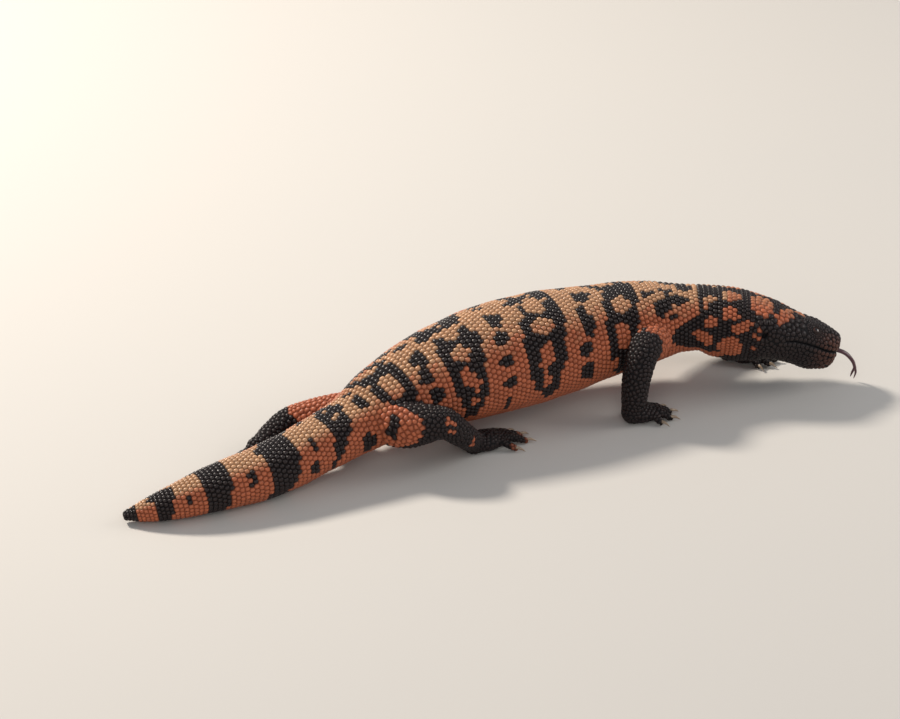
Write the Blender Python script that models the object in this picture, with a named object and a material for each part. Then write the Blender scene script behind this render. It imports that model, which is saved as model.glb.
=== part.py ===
"""A walking gila monster, life size, as a still museum model.

The animal is drawn in millimetres round one smooth line from the tail tip to the snout.
Every length of the body, and every limb, is a tube of rings along such a line.
"""
import bpy
import bmesh
import math
import numpy as np

MM = 0.001                # the sizes below are in millimetres
GAP = 0.36                # clear space between neighbouring nodes
CUT_GAP = 0.33            # how much larger a cutter is than the node that it stands for
CENTRE = (-6.7, 12.2)     # middle of the floor area that the animal covers, in the drawing
STEPS = 20                # points worked out between two stations of a line

# Raised beads: distance between neighbours round a ring is set by the columns of each length
BEAD_RISE = 1.4           # height of a bead over the valleys round it
BEAD_SINK = 0.3           # share of that height by which the valleys lie under the plain skin
BELLY_RISE = 0.3          # share of the height left on the flat plates of the belly
BELLY_EDGE = (0.35, 0.78)  # how far down the side, as a sine, the beads begin and end to flatten
LIMB_RISE = 0.8           # share of the height on the limbs
HEAD_RISE = 0.75          # share of the height on the head, where plates take the beads' place
CALM = (1.6, 4.5)         # nearer than the first to a limb the skin is plain, past the second
                          # the beads have their full height

# The body line: x, y and z of its middle, half width, height above it, depth below it
BODY = {
    "tail tip": (-236.5, -25.5, 4.0, 2.6, 2.6, 2.6),
    "tail point": (-222.5, -28.6, 7.0, 7.4, 6.6, 6.9),
    "thin tail": (-202.0, -30.0, 10.8, 11.6, 10.4, 10.6),
    "fat tail": (-179.9, -28.0, 13.5, 14.3, 13.2, 13.3),
    "mid tail": (-149.5, -23.4, 16.0, 16.4, 15.0, 15.8),
    "tail root": (-117.6, -14.5, 21.3, 17.0, 15.6, 16.6),
    "vent": (-91.5, -5.2, 26.6, 20.0, 15.6, 18.6),
    "hip": (-65.3, 4.8, 32.4, 26.3, 21.0, 24.0),
    "loin": (-35.3, 12.8, 36.0, 31.0, 27.4, 28.2),
    "belly": (0.7, 20.0, 38.0, 35.0, 31.0, 31.4),
    "ribs": (37.9, 25.3, 38.5, 34.6, 31.0, 31.0),
    "chest": (72.3, 27.2, 39.5, 31.2, 27.6, 26.2),
    "shoulder": (100.6, 26.0, 40.5, 27.6, 25.8, 22.4),
    "neck": (126.6, 21.0, 42.3, 22.2, 20.2, 18.6),
    "nape": (148.3, 13.2, 42.6, 22.8, 18.6, 24.4),
}

# The head line is straight: it starts here, turned and tipped down by these angles
HEAD_START = (168.0, 5.3, 40.5)
HEAD_YAW = math.radians(-20.7)
HEAD_PITCH = math.radians(-17.6)
HEAD_ROLL = math.radians(11)  # the crown leans to the left
# Along the head line: distance, half width, height above, depth below
HEAD = {
    "jaw": (0.0, 23.0, 15.3, 23.6),
    "temple": (12.0, 21.8, 13.5, 19.6),
    "eye": (24.0, 17.8, 11.5, 18.8),
    "cheek": (34.0, 14.4, 10.5, 20.0),
    "nose": (41.5, 12.0, 9.0, 18.0),
    "lip": (46.6, 9.6, 7.6, 15.8),
    "snout": (49.0, 6.9, 6.2, 12.4),
}
SNOUT_TIP = 50.3

# Where the body is parted, as shares of the way between two named stations
PARTINGS = (
    ("tail_end", "tail tip", "fat tail"),
    ("tail_mid", "fat tail", "tail root"),
    ("tail_base", "tail root", "vent"),
    ("pelvis", "vent", "loin"),
    ("belly", "loin", "ribs"),
    ("chest", "ribs", "shoulder"),
    ("neck", "shoulder", "nape"),
)
COLUMNS = {
    "tail_end": 18,
    "tail_mid": 21,
    "tail_base": 24,
    "pelvis": 33,
    "belly": 42,
    "chest": 39,
    "neck": 30,
    "head": 30,
}
LIMB_COLUMNS = 12

# Limbs: x, y and z of the middle, radius. Each list runs from inside the body to the ankle
LIMBS = {
    "fore_right": {
        "line": ((102, 14, 40, 11.5), (96, 1, 42.5, 11.0), (86.5, -10.0, 43.5, 9.4),
                 (80.5, -14.0, 29.0, 8.6), (78.5, -15.0, 11.5, 7.4)),
        "bend": 2,
        "palm": (83.5, -14.5),
        "heading": -1.0,
        "hind": False,
    },
    "fore_left": {
        "line": ((104, 38, 40, 11.5), (113, 51, 40, 11.0), (130.0, 58.0, 36.0, 9.4),
                 (147.0, 49.5, 23.0, 8.4), (160.0, 40.5, 10.5, 7.2)),
        "bend": 2,
        "palm": (171.5, 33.0),
        "heading": -26.0,
        "hind": False,
    },
    "hind_right": {
        "line": ((-78, -6, 28, 14.0), (-65, -22, 28.5, 13.2), (-47.0, -30.0, 30.5, 9.6),
                 (-35.0, -27.0, 20.0, 7.8), (-25.5, -19.5, 9.5, 7.0)),
        "bend": 2,
        "palm": (-15.0, -14.5),
        "heading": 7.0,
        "hind": True,
    },
    "hind_left": {
        "line": ((-80, 3, 27, 13.0), (-98, 17, 21.5, 11.6), (-119.0, 27.0, 15.5, 9.4),
                 (-132.0, 23.5, 11.5, 7.8), (-141.5, 16.5, 9.0, 7.0)),
        "bend": 2,
        "palm": (-150.0, 10.5),
        "heading": 203.0,
        "hind": True,
    },
}
# Toes, from the inner one out: angle from the heading, reach from the middle of the palm
FORE_TOES = ((50, 14.0), (25, 17.0), (2, 19.0), (-22, 18.0), (-50, 14.0))
HIND_TOES = ((42, 17.0), (21, 21.0), (3, 24.5), (-15, 25.5), (-42, 19.0))
LIMB_EASE = 8.0           # the rings of a limb turn with the mean of its line this far each way
PALM_HEIGHT = 5.0         # middle of the palm over the floor
PALM_SIZE = {False: (10.0, 9.0, 5.6), True: (12.5, 9.5, 5.8)}
# Toes and claws: share of the reach, height over the floor and half width
TOE = ((0.25, 5.0, 3.0), (0.62, 4.8, 2.7), (1.0, 1.65, 1.95))
TOE_ROOT = 1.5            # the roots of the toes lie this far ahead of the middle of the palm
TOE_END = 1.2             # length of the rounded end of a toe
CLAW = ((-0.25, 2.3, 1.3), (0.45, 2.5, 0.95), (0.95, 0.9, 0.3))
CLAW_LENGTH = 5.5
HEEL_REACH = 4.5          # from the ankle to the middle of the heel
FLOOR_CUT = 0.6           # the soles are drawn this far under the floor and cut level with it
SHORTEST = 0.02           # a shorter edge left by fusing or cutting is closed

EYE_RADIUS = 3.1
EYE_ALONG = 31.4          # along the head line
EYE_TURN = math.radians(45)
EYE_SINK = 1.7            # middle of the eyeball under the skin
LID_SIZE = (3.3, 2.8)     # half length and half height of the ring of the lids
LID_THICK = (1.15, 1.3)   # half thickness of the lower and of the upper lid
LID_LIFT = 1.75           # middle of the lids over the middle of the eyeball
LID_FACES = (12, 5)       # faces round the eye, and round the lid itself
BROW_TURN = math.radians(68)
BROW_RISE = 0.6           # swelling over each eye
BROW_REACH = 5.5
HEAD_CALM = {"eye": (4.6, 7.5), "ear": (4.2, 6.5), "nostril": (1.8, 3.6), "mouth": (2.6, 4.6)}
EAR_ALONG = 1.0
EAR_TURN = math.radians(-4)
EAR_SIZE = (3.4, 2.0, 3.0)
NOSTRIL_ALONG = 45.8
NOSTRIL_TURN = math.radians(42)
NOSTRIL_RADIUS = 1.0

# The line of the mouth in the side view of the head: along the head line, height over it
MOUTH = ((13.0, -2.4), (20.0, -0.9), (28.0, -1.1), (36.0, -2.0), (41.0, -3.0), (56.0, -3.6))
THROAT_CUT = (8.0, -34.0)  # the jaw's hind cut runs from the mouth's corner to this point
CUT_REACH = 40.0          # the cutting blocks reach this far to each side
LIP_THICK = 1.3           # half thickness of a lip, which is half sunk in the skin
LIP_OFFSET = 1.1          # middle of a lip over or under the line of the mouth
LIP_STEPS = 8             # points of a lip's path on each side
LIP_CORNER = 0.35         # share of that thickness left at the corner of the mouth
LIP_ROWS = 24
LIP_SIDES = 5
FRONT = 49.7              # where the mouth crosses the front of the snout, along the head line

# The tongue: along the head's heading and height over the floor, half width, half thickness
TONGUE = ((205.0, 24.8, 1.9, 0.9), (214.0, 22.2, 1.9, 0.9), (220.0, 19.6, 1.8, 0.9),
          (224.4, 14.6, 1.7, 0.9), (226.2, 9.6, 1.5, 0.9))
TINES = (((226.0, 10.6), (226.8, 6.2), (225.8, 1.8)), ((226.0, 10.6), (224.4, 7.4), (223.4, 4.6)))
TINE_SPREAD = (1.4, -1.6)
TINE_RADIUS = 0.75

COLOURS = {
    "black": ((0.018, 0.015, 0.016, 1.0), 0.42),
    "salmon": ((0.62, 0.22, 0.11, 1.0), 0.48),
    "mixed": ((0.30, 0.12, 0.07, 1.0), 0.46),
    "eye": ((0.006, 0.005, 0.005, 1.0), 0.08),
    "tongue": ((0.07, 0.015, 0.022, 1.0), 0.30),
}


def material(name):
    """The material of one node: its colour and how dull it is."""
    colour, roughness = COLOURS[name]
    made = bpy.data.materials.new(name)
    made.use_nodes = True
    shader = made.node_tree.nodes["Principled BSDF"]
    shader.inputs["Base Color"].default_value = colour
    shader.inputs["Roughness"].default_value = roughness
    shader.inputs["Metallic"].default_value = 0.0
    made.diffuse_color = colour
    return made


def unit(vector):
    return vector / np.linalg.norm(vector)


def lean(up, ahead, angle):
    """The way up, turned to the left about the way ahead."""
    return up * math.cos(angle) + np.cross(up, ahead) * math.sin(angle)


def curve_through(rows, place):
    """A smooth curve through all rows, read at a place counted in rows."""
    last = len(rows) - 1
    first = int(min(max(math.floor(place), 0), last - 1))
    share = place - first
    b = rows[first]
    c = rows[first + 1]
    a = rows[first - 1] if first > 0 else 2 * b - c
    d = rows[first + 2] if first + 2 <= last else 2 * c - b
    bend = (-a + 3 * b - 3 * c + d) * share ** 3 + (2 * a - 5 * b + 4 * c - d) * share ** 2
    return 0.5 * (2 * b + (c - a) * share + bend)


class Line:
    """A smooth line with a half width, a height above and a depth below at each place."""

    def __init__(self, stations, upright=(0, 0, 1), carried=False, ease=0.0):
        rows = np.array(stations, float)
        places = np.linspace(0, len(rows) - 1, (len(rows) - 1) * STEPS + 1)
        self.rows = np.array([curve_through(rows, place) for place in places])
        steps = np.linalg.norm(np.diff(self.rows[:, :3], axis=0), axis=1)
        self.along = np.concatenate(([0.0], np.cumsum(steps)))
        self.length = self.along[-1]
        ahead = np.array([unit(v) for v in np.gradient(self.rows[:, :3], axis=0)])
        near = [np.abs(self.along - along) <= ease for along in self.along]
        self.forward = np.array([unit(ahead[close].mean(axis=0)) for close in near])
        up = np.array(upright, float)
        ups = []
        for ahead in self.forward:
            if not carried:
                up = np.array(upright, float)
            up = unit(up - ahead * np.dot(up, ahead))
            ups.append(up)
        self.up = np.array(ups)
        self.stations = self.along[::STEPS]

    def roll(self, start, end, angle):
        """Turns the rings about the line, from nought at the start to the angle at the end."""
        for row, along in enumerate(self.along):
            self.up[row] = lean(self.up[row], self.forward[row], angle * ramp(along, start, end))

    def read(self, table, along):
        return np.array([np.interp(along, self.along, column) for column in table.T])

    def point(self, along, turn, lift=0.0):
        """The skin at a distance along the line and a turn round it, from its left side up."""
        row = self.read(self.rows, along)
        ahead = unit(self.read(self.forward, along))
        up = self.read(self.up, along)
        up = unit(up - ahead * np.dot(up, ahead))
        side = np.cross(up, ahead)
        across = math.cos(turn)
        high = math.sin(turn)
        reach = row[4] if high > 0 else row[5]
        outward = unit(side * across / row[3] + up * high / reach)
        return row[:3] + side * row[3] * across + up * reach * high + outward * lift

    def girth(self, along):
        row = self.read(self.rows, along)
        return math.pi * (row[3] + 0.5 * (row[4] + row[5]))


def on_floor(point):
    """Presses a point that lies under the floor up to it, which makes the flats."""
    return np.array((point[0], point[1], max(point[2], 0.0)))


def tube(line, start, end, columns, lift, tip=None, pressed=False, rows=None, swell=0.0):
    """Rings of points along a line, closed at both ends, in a lattice of triangles.

    A swollen tube is larger by that much all over and at its far end.
    """
    if rows is None:
        girth = line.girth(0.5 * (start + end))
        rows = max(2, round((end - start) / (girth / columns * math.sqrt(0.75))))
    points = []
    for row in range(rows + 1):
        along = start + (end - start) * row / rows
        for column in range(columns):
            turn = 2 * math.pi * (column + 0.5 * (row % 2)) / columns
            apex = (column - row // 2 - row) % 3 == 0
            plain = line.point(along, turn)
            height = 0.0 if row in (0, rows) else lift(plain, turn, along, apex)
            point = line.point(along, turn, height + swell)
            if row == rows:
                point = point + line.read(line.forward, along) * swell
            points.append(on_floor(point) if pressed else point)
    faces = []
    for row in range(rows):
        for column in range(columns):
            beside = (column + 1) % columns
            a = row * columns + column
            b = row * columns + beside
            c = a + columns
            d = b + columns
            faces += [(a, b, c), (b, d, c)] if row % 2 == 0 else [(a, d, c), (a, b, d)]
    ends = ((0, start, None), (rows, end, tip))
    for row, along, beyond in ends:
        middle = line.read(line.rows, along)[:3] if beyond is None else np.array(beyond)
        if row == rows:
            middle = middle + line.read(line.forward, along) * swell
        points.append(on_floor(middle) if pressed else middle)
        hub = len(points) - 1
        for column in range(columns):
            a = row * columns + column
            b = row * columns + (column + 1) % columns
            faces.append((b, a, hub) if row == 0 else (a, b, hub))
    return points, faces


def face_outwards(work):
    bmesh.ops.recalc_face_normals(work, faces=work.faces)
    if work.calc_volume(signed=True) < 0:
        bmesh.ops.reverse_faces(work, faces=work.faces)


def mesh_object(name, points, faces):
    """One object from points in millimetres, moved so that the animal stands at the origin."""
    shifted = [((p[0] - CENTRE[0]) * MM, (p[1] - CENTRE[1]) * MM, p[2] * MM) for p in points]
    mesh = bpy.data.meshes.new(name)
    mesh.from_pydata(shifted, [], faces)
    work = bmesh.new()
    work.from_mesh(mesh)
    face_outwards(work)
    work.to_mesh(mesh)
    work.free()
    made = bpy.data.objects.new(name, mesh)
    bpy.context.scene.collection.objects.link(made)
    return made


def ball(name, middle, sizes, axes=None, segments=12, rings=8):
    """A closed ellipsoid with its three half sizes along the given axes."""
    axes = np.eye(3) if axes is None else np.array(axes)
    points = [np.array(middle) + axes[2] * sizes[2]]
    for ring in range(1, rings):
        tilt = math.pi * ring / rings
        for segment in range(segments):
            turn = 2 * math.pi * (segment + 0.5 * (ring % 2)) / segments
            flat = axes[0] * sizes[0] * math.cos(turn) + axes[1] * sizes[1] * math.sin(turn)
            points.append(np.array(middle) + flat * math.sin(tilt)
                          + axes[2] * sizes[2] * math.cos(tilt))
    points.append(np.array(middle) - axes[2] * sizes[2])
    last = len(points) - 1
    faces = []
    for segment in range(segments):
        beside = (segment + 1) % segments
        faces.append((0, 1 + segment, 1 + beside))
        faces.append((last, last - segments + beside, last - segments + segment))
        for ring in range(rings - 2):
            a = 1 + ring * segments + segment
            b = 1 + ring * segments + beside
            c = a + segments
            d = b + segments
            odd = (ring + 1) % 2 == 1
            faces += [(a, c, d), (a, d, b)] if odd else [(a, c, b), (b, c, d)]
    return mesh_object(name, points, faces)


def apply_boolean(target, operation, other=None, collection=None, solver="EXACT"):
    """Joins to a target, or cuts from it, and bakes the result into its mesh."""
    step = target.modifiers.new(operation.lower(), "BOOLEAN")
    step.operation = operation
    step.solver = solver
    if collection is not None:
        step.operand_type = "COLLECTION"
        step.collection = collection
    else:
        step.object = other
    graph = bpy.context.evaluated_depsgraph_get()
    baked = bpy.data.meshes.new_from_object(target.evaluated_get(graph))
    target.modifiers.remove(step)
    old = target.data
    target.data = baked
    bpy.data.meshes.remove(old)


def remove(obj):
    mesh = obj.data
    bpy.data.objects.remove(obj)
    bpy.data.meshes.remove(mesh)


def join(target, pieces):
    """Fuses closed pieces with a target in one union."""
    group = bpy.data.collections.new("pieces of " + target.name)
    for piece in pieces:
        group.objects.link(piece)
    apply_boolean(target, "UNION", collection=group)
    for piece in pieces:
        remove(piece)
    bpy.data.collections.remove(group)


def cut(target, cutter, keep_cutter=False):
    cutter.hide_render = True
    cutter.display_type = "WIRE"
    apply_boolean(target, "DIFFERENCE", other=cutter)
    if not keep_cutter:
        remove(cutter)


def keep_largest(target):
    """Leaves only the largest closed surface of a mesh, as triangles."""
    work = bmesh.new()
    work.from_mesh(target.data)
    bmesh.ops.triangulate(work, faces=work.faces)
    left = set(work.verts)
    shells = []
    while left:
        stack = [left.pop()]
        shell = set(stack)
        while stack:
            for edge in stack.pop().link_edges:
                for vertex in edge.verts:
                    if vertex in left:
                        left.remove(vertex)
                        shell.add(vertex)
                        stack.append(vertex)
        shells.append(shell)
    shells.sort(key=len, reverse=True)
    scraps = [vertex for shell in shells[1:] for vertex in shell]
    bmesh.ops.delete(work, geom=scraps, context="VERTS")
    bmesh.ops.dissolve_degenerate(work, edges=work.edges, dist=SHORTEST * MM)
    bmesh.ops.triangulate(work, faces=work.faces)
    face_outwards(work)
    work.to_mesh(target.data)
    work.free()


def body_line():
    """The whole body line and the distance along it of each named station."""
    ahead = np.array((math.cos(HEAD_YAW) * math.cos(HEAD_PITCH),
                      math.sin(HEAD_YAW) * math.cos(HEAD_PITCH), math.sin(HEAD_PITCH)))
    stations = list(BODY.values())
    for along, half_width, above, below in HEAD.values():
        stations.append((*(np.array(HEAD_START) + ahead * along), half_width, above, below))
    line = Line(stations)
    places = dict(zip(list(BODY) + list(HEAD), line.stations))
    line.tip = np.array(HEAD_START) + ahead * SNOUT_TIP
    line.roll(places["neck"], places["jaw"], HEAD_ROLL)
    level = unit(np.cross((0, 0, 1), ahead))
    line.head_ahead = ahead
    line.head_up = lean(np.cross(ahead, level), ahead, HEAD_ROLL)
    line.head_left = np.cross(line.head_up, ahead)
    return line, places


def limb_line(limb):
    rows = [(x, y, z, r, r, r) for x, y, z, r in limb["line"]]
    return Line(rows, upright=(0.2, 0.1, 1.0), carried=True, ease=LIMB_EASE)


def limb_samples(lines):
    """Middles and radii along all limbs, to keep the beads away from them."""
    middles = []
    radii = []
    for line in lines.values():
        middles.append(line.rows[::4, :3])
        radii.append(line.rows[::4, 3])
    return np.vstack(middles), np.concatenate(radii)


def bead_lift(samples):
    """How far a point of the body's skin stands out: beads, flat plates or plain skin."""
    middles, radii = samples

    def lift(point, turn, along, apex):
        clear = np.min(np.linalg.norm(middles - point, axis=1) - radii)
        flat = 1.0 - (1.0 - BELLY_RISE) * ramp(-math.sin(turn), *BELLY_EDGE)
        return bead(BEAD_RISE * ramp(clear, *CALM) * flat, apex)

    return lift


def ramp(value, low, high):
    """From nought at the low value to one at the high one."""
    return min(max((value - low) / (high - low), 0.0), 1.0)


def bead(height, apex):
    """How far the top of a bead, or the valley beside it, stands out from the plain skin."""
    return height * (1.0 - BEAD_SINK) if apex else -height * BEAD_SINK


def plain_lift(point, turn, along, apex):
    return 0.0


def limb_lift(point, turn, along, apex):
    return bead(LIMB_RISE * BEAD_RISE, apex)


def head_lift(line, places, marks):
    """Plates on the head, calm round the eyes, ears, nostrils and mouth, and the brows."""
    full = line.girth(places["jaw"])
    brows = [head_place(line, places, EYE_ALONG, t, 0.0) for t in both_sides(BROW_TURN)]

    def lift(point, turn, along, apex):
        calm = min(ramp(np.linalg.norm(point - spot), *HEAD_CALM[kind]) for kind, spot in marks)
        from_start = point - HEAD_START
        ahead = np.dot(from_start, line.head_ahead)
        if ahead > MOUTH[0][0]:
            over = abs(np.dot(from_start, line.head_up) - mouth_height(ahead))
            calm = min(calm, ramp(over, *HEAD_CALM["mouth"]))
        near = min(np.linalg.norm(point - spot) for spot in brows)
        brow = BROW_RISE * math.exp(-(near / BROW_REACH) ** 2)
        height = BEAD_RISE * HEAD_RISE * calm * line.girth(along) / full
        return brow + bead(height, apex)

    return lift


def make_body(line, places, samples):
    """The lengths of the tail, trunk and neck, each a closed tube of rings."""
    lift = bead_lift(samples)
    made = {}
    for name, first, last in PARTINGS:
        start = places[first] + (0.0 if first == "tail tip" else 0.5 * GAP)
        end = places[last] - 0.5 * GAP
        points, faces = tube(line, start, end, COLUMNS[name], lift, pressed=True)
        made[name] = mesh_object(name, points, faces)
    return made


def head_place(line, places, along, turn, lift):
    return line.point(places["jaw"] + along, turn, lift)


def both_sides(turn):
    """A turn round the head line on the left, and the same on the right."""
    return (turn, math.pi - turn)


def mouth_height(along):
    return np.interp(along, [row[0] for row in MOUTH], [row[1] for row in MOUTH])


def lip(name, line, places, shift):
    """A round strip along the mouth, from its left corner round the snout to the right one."""
    left = []
    right = []
    for along in np.linspace(MOUTH[0][0], 0.5 * (HEAD["lip"][0] + HEAD["snout"][0]), LIP_STEPS):
        high = mouth_height(along) + shift
        row = line.read(line.rows, places["jaw"] + along)
        turn = math.asin(high / (row[4] if high > 0 else row[5]))
        left.append(head_place(line, places, along, turn, 0.0))
        right.append(head_place(line, places, along, math.pi - turn, 0.0))
    front = np.array(HEAD_START) + line.head_ahead * FRONT
    path = left + [front + line.head_up * (mouth_height(FRONT) + shift)] + right[::-1]
    rows = []
    for spot, share in zip(path, np.linspace(0.0, math.pi, len(path))):
        thick = LIP_THICK * (LIP_CORNER + (1.0 - LIP_CORNER) * math.sqrt(math.sin(share)))
        rows.append((*spot, thick, thick, thick))
    strip = Line(rows, upright=line.head_up)
    points, faces = tube(strip, 0.0, strip.length, LIP_SIDES, plain_lift, rows=LIP_ROWS)
    return mesh_object(name, points, faces)


def lids(name, middle, outward, ahead):
    """A ring round the eye, thicker above, which the socket's cut leaves over the eyeball."""
    across = unit(ahead - outward * np.dot(ahead, outward))
    high = np.cross(outward, across)
    if high[2] < 0:
        high = -high
    around, sides = LID_FACES
    points = []
    for step in range(around):
        turn = 2 * math.pi * step / around
        out = unit(across * math.cos(turn) * LID_SIZE[1] + high * math.sin(turn) * LID_SIZE[0])
        ring = middle + outward * LID_LIFT
        ring = ring + across * math.cos(turn) * LID_SIZE[0] + high * math.sin(turn) * LID_SIZE[1]
        upper = 0.5 + 0.5 * math.sin(turn)
        thick = LID_THICK[0] + (LID_THICK[1] - LID_THICK[0]) * upper
        for side in range(sides):
            tilt = 2 * math.pi * side / sides
            points.append(ring + thick * (out * math.cos(tilt) + outward * math.sin(tilt)))
    faces = []
    for step in range(around):
        for side in range(sides):
            a = step * sides + side
            b = step * sides + (side + 1) % sides
            c = (a + sides) % (around * sides)
            d = (b + sides) % (around * sides)
            faces += [(a, b, c), (b, d, c)]
    return mesh_object(name, points, faces)


def mouth_cutter(line, name, shift):
    """A block under the line of the mouth and in front of the throat cut."""
    start = np.array(HEAD_START)
    outline = [(along, high + shift) for along, high in MOUTH]
    outline[0] = (outline[0][0] - shift, outline[0][1])
    outline += [(MOUTH[-1][0], THROAT_CUT[1]), (THROAT_CUT[0] - shift, THROAT_CUT[1])]
    points = []
    for side in (-CUT_REACH, CUT_REACH):
        for along, high in outline:
            spot = start + line.head_ahead * along + line.head_up * high
            points.append(spot + line.head_left * side)
    count = len(outline)
    faces = [tuple(range(count)), tuple(range(count, 2 * count))]
    for a in range(count):
        b = (a + 1) % count
        faces.append((a, b, b + count, a + count))
    return mesh_object(name, points, faces)


def make_head(line, places):
    """Head and lower jaw, parted along the mouth, with sockets, ears and nostrils."""
    start = places["nape"] + 0.5 * GAP
    end = places["snout"]
    marks = []
    for kind, along, angle, depth in (("eye", EYE_ALONG, EYE_TURN, -EYE_SINK),
                                      ("ear", EAR_ALONG, EAR_TURN, 0.0),
                                      ("nostril", NOSTRIL_ALONG, NOSTRIL_TURN, 0.0)):
        for turn in both_sides(angle):
            marks.append((kind, head_place(line, places, along, turn, depth)))
    lift = head_lift(line, places, marks)
    points, faces = tube(line, start, end, COLUMNS["head"], lift, tip=line.tip)
    head = mesh_object("head", points, faces)
    jaw = mesh_object("lower_jaw", points, faces)
    pieces = [lip("upper lip", line, places, LIP_OFFSET)]
    for turn, (kind, middle) in zip(both_sides(EYE_TURN), marks[:2]):
        outward = unit(head_place(line, places, EYE_ALONG, turn, 0.0) - middle)
        pieces.append(lids("lids", middle, outward, line.head_ahead))
    join(head, pieces)
    join(jaw, [lip("lower lip", line, places, -LIP_OFFSET)])
    block = mouth_cutter(line, "under mouth", 0.0)
    apply_boolean(jaw, "INTERSECT", other=block)
    remove(block)
    cut(head, mouth_cutter(line, "mouth", GAP))
    eyes = []
    for kind, middle in marks:
        if kind == "eye":
            name = "eye_left" if not eyes else "eye_right"
            eyes.append(ball(name, middle, [EYE_RADIUS] * 3))
            cut(head, ball("socket", middle, [EYE_RADIUS + GAP] * 3))
        elif kind == "ear":
            cut(head, ball("ear", middle, EAR_SIZE, segments=10, rings=6))
        else:
            cut(head, ball("nostril", middle, [NOSTRIL_RADIUS] * 3, segments=8, rings=6))
    return head, jaw, eyes


def make_tongue():
    """The forked tongue, out over the lower lip."""
    heading = np.array((math.cos(HEAD_YAW), math.sin(HEAD_YAW), 0.0))
    left = np.array((-math.sin(HEAD_YAW), math.cos(HEAD_YAW), 0.0))

    def place(along, high, aside=0.0):
        spot = np.array(HEAD_START) + heading * (along - HEAD_START[0]) + left * aside
        spot[2] = high
        return spot

    def strip(name, rows, columns, count):
        line = Line([(*place(a, h, s), w, t, t) for a, h, s, w, t in rows],
                    upright=(0, 0, 1), carried=True)
        points, faces = tube(line, 0.0, line.length, columns, plain_lift, rows=count)
        return mesh_object(name, points, faces)

    stem = [(a, h, 0.0, w, t) for a, h, w, t in TONGUE]
    tongue = strip("tongue", stem, 8, 10)
    tines = []
    for row, spread in zip(TINES, TINE_SPREAD):
        (a0, h0), (a1, h1), (a2, h2) = row
        rows = [(a0, h0, 0.3 * spread, TINE_RADIUS, TINE_RADIUS),
                (a1, h1, 0.8 * spread, 0.8 * TINE_RADIUS, 0.8 * TINE_RADIUS),
                (a2, h2, spread, 0.3 * TINE_RADIUS, 0.3 * TINE_RADIUS)]
        tines.append(strip("tine", rows, 6, 5))
    join(tongue, tines)
    keep_largest(tongue)
    fat = [(a, h, s, w + GAP, t + GAP) for a, h, s, w, t in stem]
    fat[0] = (fat[0][0] - 1.0, fat[0][1] + 0.3, *fat[0][2:])
    return tongue, strip("tongue channel", fat, 8, 10)


def make_foot(name, limb, line):
    """Palm, toes and claws fused in one, with the sole cut level with the floor."""
    yaw = math.radians(limb["heading"])
    ahead = np.array((math.cos(yaw), math.sin(yaw), 0.0))
    palm = np.array((*limb["palm"], PALM_HEIGHT))
    length, breadth, thick = PALM_SIZE[limb["hind"]]
    left = np.array((-ahead[1], ahead[0], 0.0))
    foot = ball(name, palm, (length, breadth, thick), axes=(ahead, left, (0, 0, 1)),
                segments=10, rings=6)
    ankle = line.rows[-1]
    radius = ankle[3]
    begin = ankle[:3] + line.forward[-1] * GAP
    heel = ankle[:3] + line.forward[-1] * HEEL_REACH
    rows = [(*begin, radius, radius, radius), (*heel, 0.9 * radius, 0.9 * radius, 0.9 * radius)]
    cuff = Line(rows, upright=line.up[-1], carried=True)
    points, faces = tube(cuff, 0.0, cuff.length, 8, plain_lift, rows=1)
    pieces = [mesh_object("cuff", points, faces)]
    under = heel[2] + 0.5 * FLOOR_CUT
    pieces.append(ball("heel", heel, (radius, radius, under), segments=8, rings=6))
    inner = 1 if "right" in name else -1
    for angle, reach in (HIND_TOES if limb["hind"] else FORE_TOES):
        pieces += make_toe(palm, yaw + inner * math.radians(angle), reach, ahead)
    join(foot, pieces)
    floor = []
    for high in (-PALM_HEIGHT, 0.0):
        for x, y in ((-1, -1), (1, -1), (1, 1), (-1, 1)):
            floor.append((palm[0] + x * CUT_REACH, palm[1] + y * CUT_REACH, high))
    sides = [(0, 1, 2, 3), (4, 5, 6, 7), (0, 1, 5, 4), (1, 2, 6, 5), (2, 3, 7, 6), (3, 0, 4, 7)]
    cut(foot, mesh_object("floor", floor, sides))
    bend = line.stations[limb["bend"]]
    points, faces = tube(line, bend, line.length, LIMB_COLUMNS, plain_lift, swell=CUT_GAP)
    cut(foot, mesh_object("shank cutter", points, faces))
    keep_largest(foot)
    return foot


def make_toe(palm, yaw, reach, ahead):
    """One toe with its claw, out from the palm."""
    out = np.array((math.cos(yaw), math.sin(yaw), 0.0))
    rows = []
    for share, high, wide in TOE:
        spot = palm + out * reach * share + ahead * TOE_ROOT * (1.0 - share)
        rows.append((spot[0], spot[1], high, wide, wide, wide))
    toe = Line(rows)
    tip = toe.rows[-1][:3] + toe.forward[-1] * TOE_END
    points, faces = tube(toe, 0.0, toe.length, 6, plain_lift, tip=tip, rows=2)
    pieces = [mesh_object("toe", points, faces)]
    rows = []
    for share, high, wide in CLAW:
        spot = palm + out * (reach + share * CLAW_LENGTH)
        rows.append((spot[0], spot[1], high, wide, wide, wide))
    claw = Line(rows)
    points, faces = tube(claw, 0.0, claw.length, 4, plain_lift, rows=2)
    pieces.append(mesh_object("claw", points, faces))
    return pieces


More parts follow.
